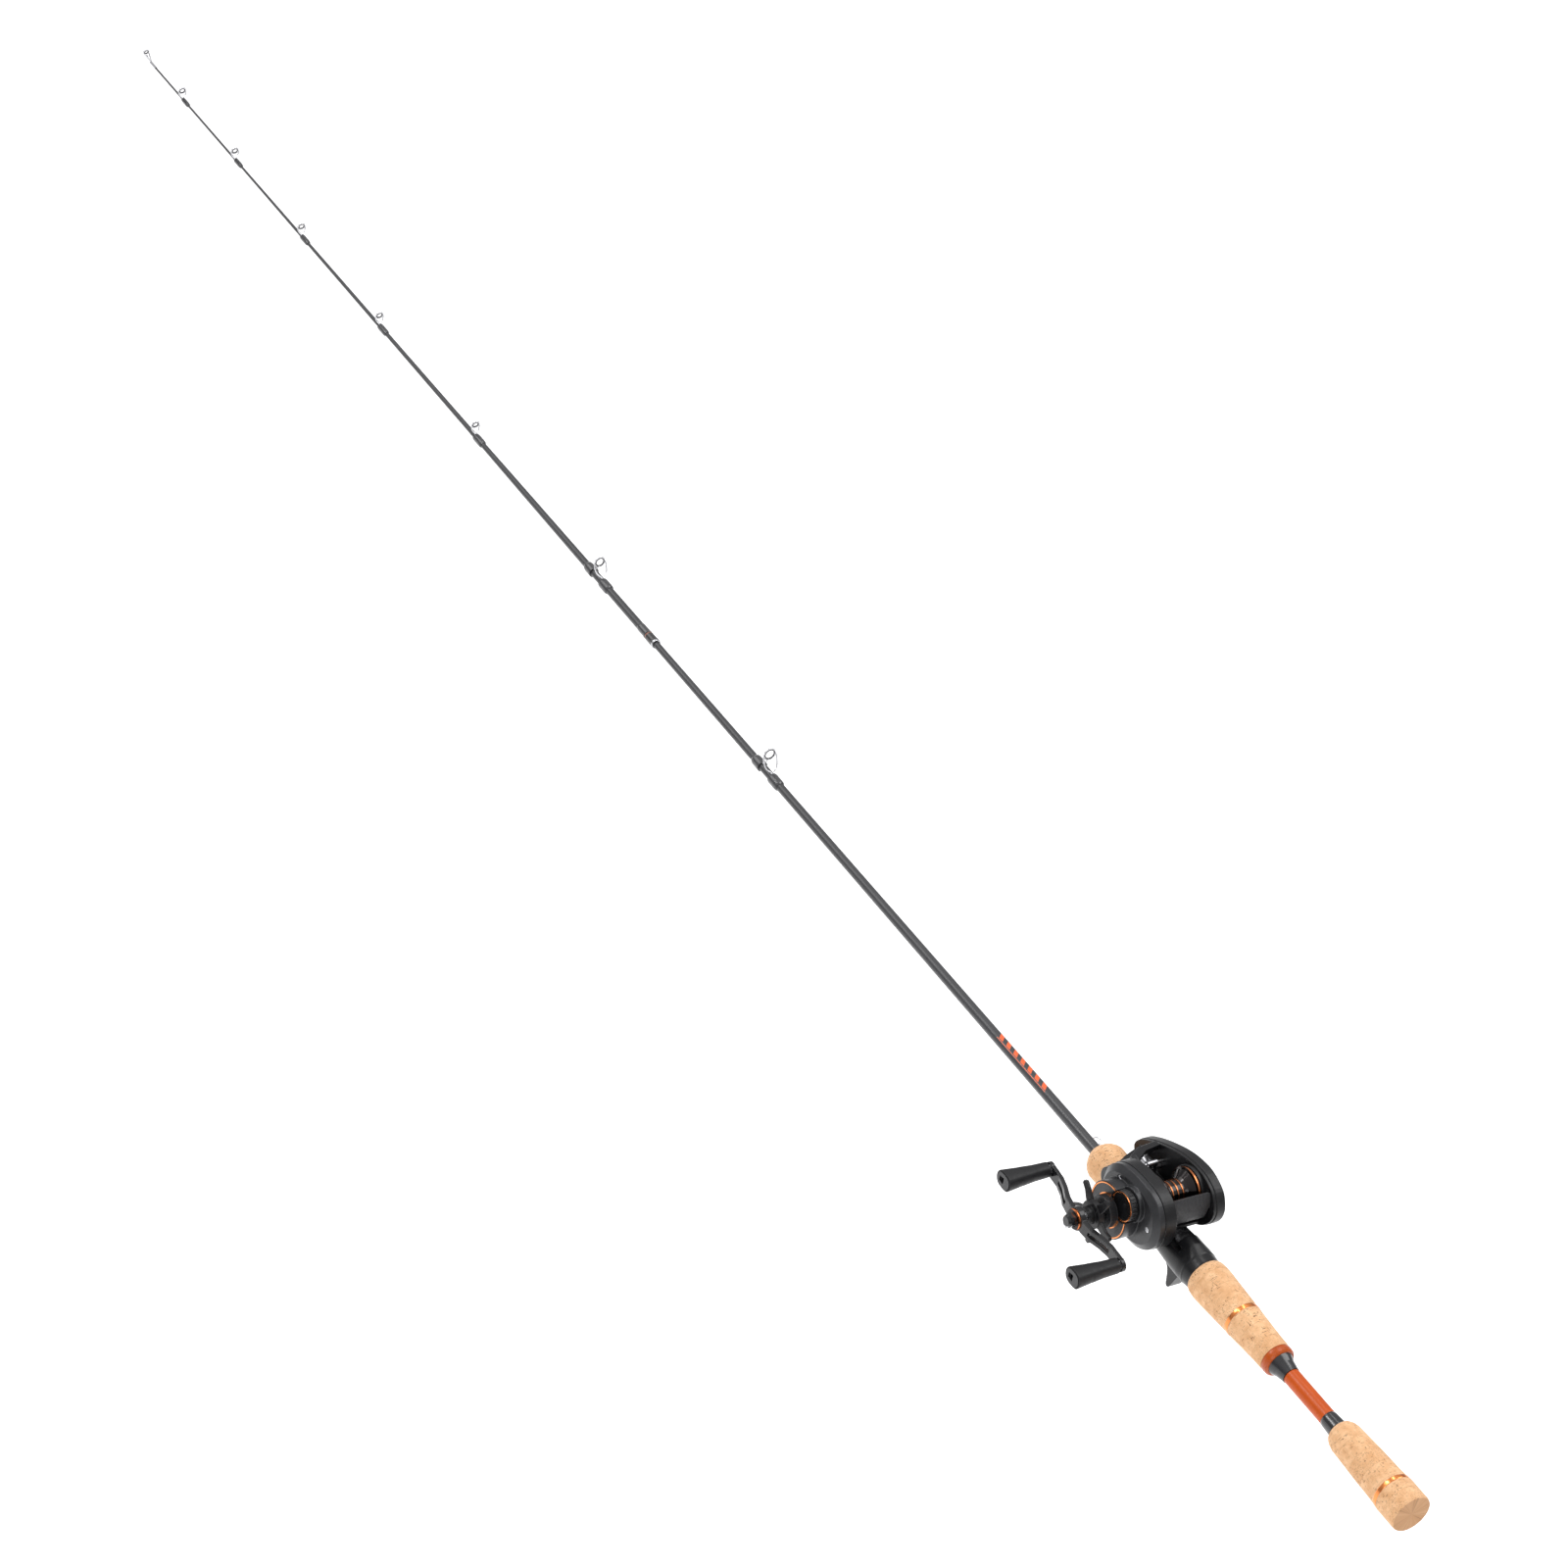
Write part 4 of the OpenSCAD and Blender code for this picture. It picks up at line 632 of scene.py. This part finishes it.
def torus(c, R, r, lean=0.0, n=56, k=14):
    """Ring whose axis runs along X, leaning towards +Z by lean degrees."""
    a = math.radians(lean)
    ax, up_ = Vector((math.cos(a), 0, math.sin(a))), Vector((-math.sin(a), 0, math.cos(a)))
    side = Vector((0, 1, 0))
    rings = []
    for i in range(n):
        t_ = 2 * math.pi * i / n
        d = up_ * math.cos(t_) + side * math.sin(t_)
        turns = [2 * math.pi * j / k for j in range(k)]
        rings.append([c + d * (R + r * math.cos(q)) + ax * (r * math.sin(q)) for q in turns])
    rings.append(rings[0])
    me = grid_mesh("t", rings, caps=(False, False))
    bm = bmesh.new()
    bm.from_mesh(me)
    bmesh.ops.remove_doubles(bm, verts=bm.verts, dist=1e-7)
    bmesh.ops.recalc_face_normals(bm, faces=bm.faces)
    bm.to_mesh(me)
    bm.free()
    return me


def block(x0, x1, hw, z0, z1, taper=0.5):
    """Guide foot: a low bar with a ground, tapering end."""
    rings = []
    for i in range(9):
        t_ = i / 8
        x = x0 + (x1 - x0) * t_
        k = taper + (1 - taper) * min(1, t_ * 1.6)
        top = z0 + (z1 - z0) * k
        w_ = hw * (0.55 + 0.45 * min(1, t_ * 2))
        rings.append([Vector((x, w_ * c, z0 if s < 0 else top - (top - z0) * (0.25 if abs(c) > 0.9 else 0)))
                      for c, s in ((-1, -1), (1, -1), (1, 1), (0.55, 1), (-0.55, 1), (-1, 1))])
    return grid_mesh("t", rings)


# ---------------------------------------------------------------- line guides with bowed wire frames
def node_parts(node):
    """Each separate solid of a node, as its box."""
    o = N[node]
    bm = bmesh.new()
    bm.from_mesh(o.data)
    bmesh.ops.remove_doubles(bm, verts=bm.verts, dist=2e-6)
    seen, out = set(), []
    for v in bm.verts:
        if v.index in seen:
            continue
        stack, pts = [v], []
        seen.add(v.index)
        while stack:
            q = stack.pop()
            pts.append(q.co.copy())
            for ed in q.link_edges:
                w_ = ed.other_vert(q)
                if w_.index not in seen:
                    seen.add(w_.index)
                    stack.append(w_)
        lo = Vector([min(p[i] for p in pts) for i in range(3)])
        hi = Vector([max(p[i] for p in pts) for i in range(3)])
        out.append((lo, hi))
    bm.free()
    return sorted(out, key=lambda b_: b_[0].x)


WIRE = 0.6 * mm


def double_guide(node, name):
    lo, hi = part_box(node)
    R = (hi.y - lo.y) / 2
    xr = lo.x + 19 * mm
    h = hi.z - R
    r0 = lo.z
    b = r0 + 0.6 * mm
    ms = [torus(Vector((xr, 0, h)), R - WIRE, WIRE)]
    ms.append(block(lo.x, xr - 8.0 * mm, 1.25 * mm, r0, r0 + 0.72 * mm))
    ms.append(block(hi.x, xr + 5.0 * mm, 1.25 * mm, r0, r0 + 0.72 * mm))
    for s in (-1, 1):
        leg = [(xr - 9.6 * mm, s * 0.5 * mm, b - 0.1 * mm),
               (xr - 8.2 * mm, s * 1.0 * mm, b + 0.3 * mm),
               (xr - 5.4 * mm, s * R * 0.86, b + (h - b) * 0.30),
               (xr - 2.0 * mm, s * (R + 0.25 * mm), b + (h - b) * 0.72),
               (xr - 0.1 * mm, s * (R - 0.35 * mm), h + 0.5 * mm)]
        ms.append(tube(spline(leg), WIRE * 0.96, 12))
    front = [(xr + 6.6 * mm, 0, b), (xr + 4.0 * mm, 0, b + 1.2 * mm),
             (xr + 1.2 * mm, 0, h - R - 0.6 * mm), (xr + 0.2 * mm, 0, h - R + 0.7 * mm)]
    ms.append(tube(spline(front), WIRE * 0.95, 12))
    return piece(name, join(name, ms), "chrome", BODY[node], (node,), 40)


double_guide("guide_1_frame", "guide_1_wires")
double_guide("guide_2_frame", "guide_2_wires")

ms = []
for lo, hi in node_parts("small_guide_frames"):
    R = (hi.y - lo.y) / 2
    lean = 14
    c = Vector((lo.x + 14.6 * mm, 0, 0))
    c.z = hi.z - (R - WIRE) * math.cos(math.radians(lean)) - WIRE
    b = lo.z + 0.62 * mm
    ms.append(torus(c, R - WIRE, WIRE, lean))
    ms.append(block(lo.x, lo.x + 12 * mm, 1.25 * mm, lo.z, lo.z + 0.72 * mm))
    for s in (-1, 1):
        leg = [(c.x - 4.2 * mm, s * 0.5 * mm, b - 0.1 * mm),
               (c.x - 3.0 * mm, s * 0.9 * mm, b + 0.2 * mm),
               (c.x - 1.2 * mm, s * (R * 0.72), b + (c.z - b) * 0.34),
               (c.x - 0.2 * mm, s * (R * 0.98), c.z - 0.9 * mm),
               (c.x, s * (R - 0.45 * mm), c.z + 0.3 * mm)]
        ms.append(tube(spline(leg), WIRE * 0.85, 10))
piece("small_guide_wires", join("small_guide_wires", ms), "chrome", BODY["small_guide_frames"],
      ("small_guide_frames",), 40)

# ---------------------------------------------------------------- reel and seat
soften("reel_seat", 0.34, 5, 0.30)
soften("sliding_hood", 0.26, 3, 0.4)
soften("reel_frame", 0.30, 3, 0.35)
soften("gear_cover", 0.28, 3, 0.35)
soften("palm_plate", 0.34, 4, 0.35)
soften("handle_arm", 0.22, 3, 0.4)
soften("star_drag", 0.24, 4, 0.4)
soften("knob_1", 0.30, 8, 0.3)
soften("knob_2", 0.30, 8, 0.3)
soften("thumb_bar", 0.30, 2, 0.4)

# ---------------------------------------------------------------- floor
fl_me = bpy.data.meshes.new("floor")
fl_me.from_pydata([(-14, -14, 0), (14, -14, 0), (14, 14, 0), (-14, 14, 0)], [], [(0, 1, 2, 3)])
floor = bpy.data.objects.new("floor", fl_me)
scene.collection.objects.link(floor)
floor.location = (0.9, 0, first_lo.z - 0.75)
fm = Mat("floor_white", Roughness=0.9)
fm.color(fm.mix(fm.noise(3, 2), (0.90, 0.90, 0.90, 1), (0.93, 0.93, 0.93, 1)))
fm.b.inputs["Emission Color"].default_value = (1, 1, 1, 1)
fm.b.inputs["Emission Strength"].default_value = 0.45
floor.data.materials.append(fm.m)
floor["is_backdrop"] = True

lo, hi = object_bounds()
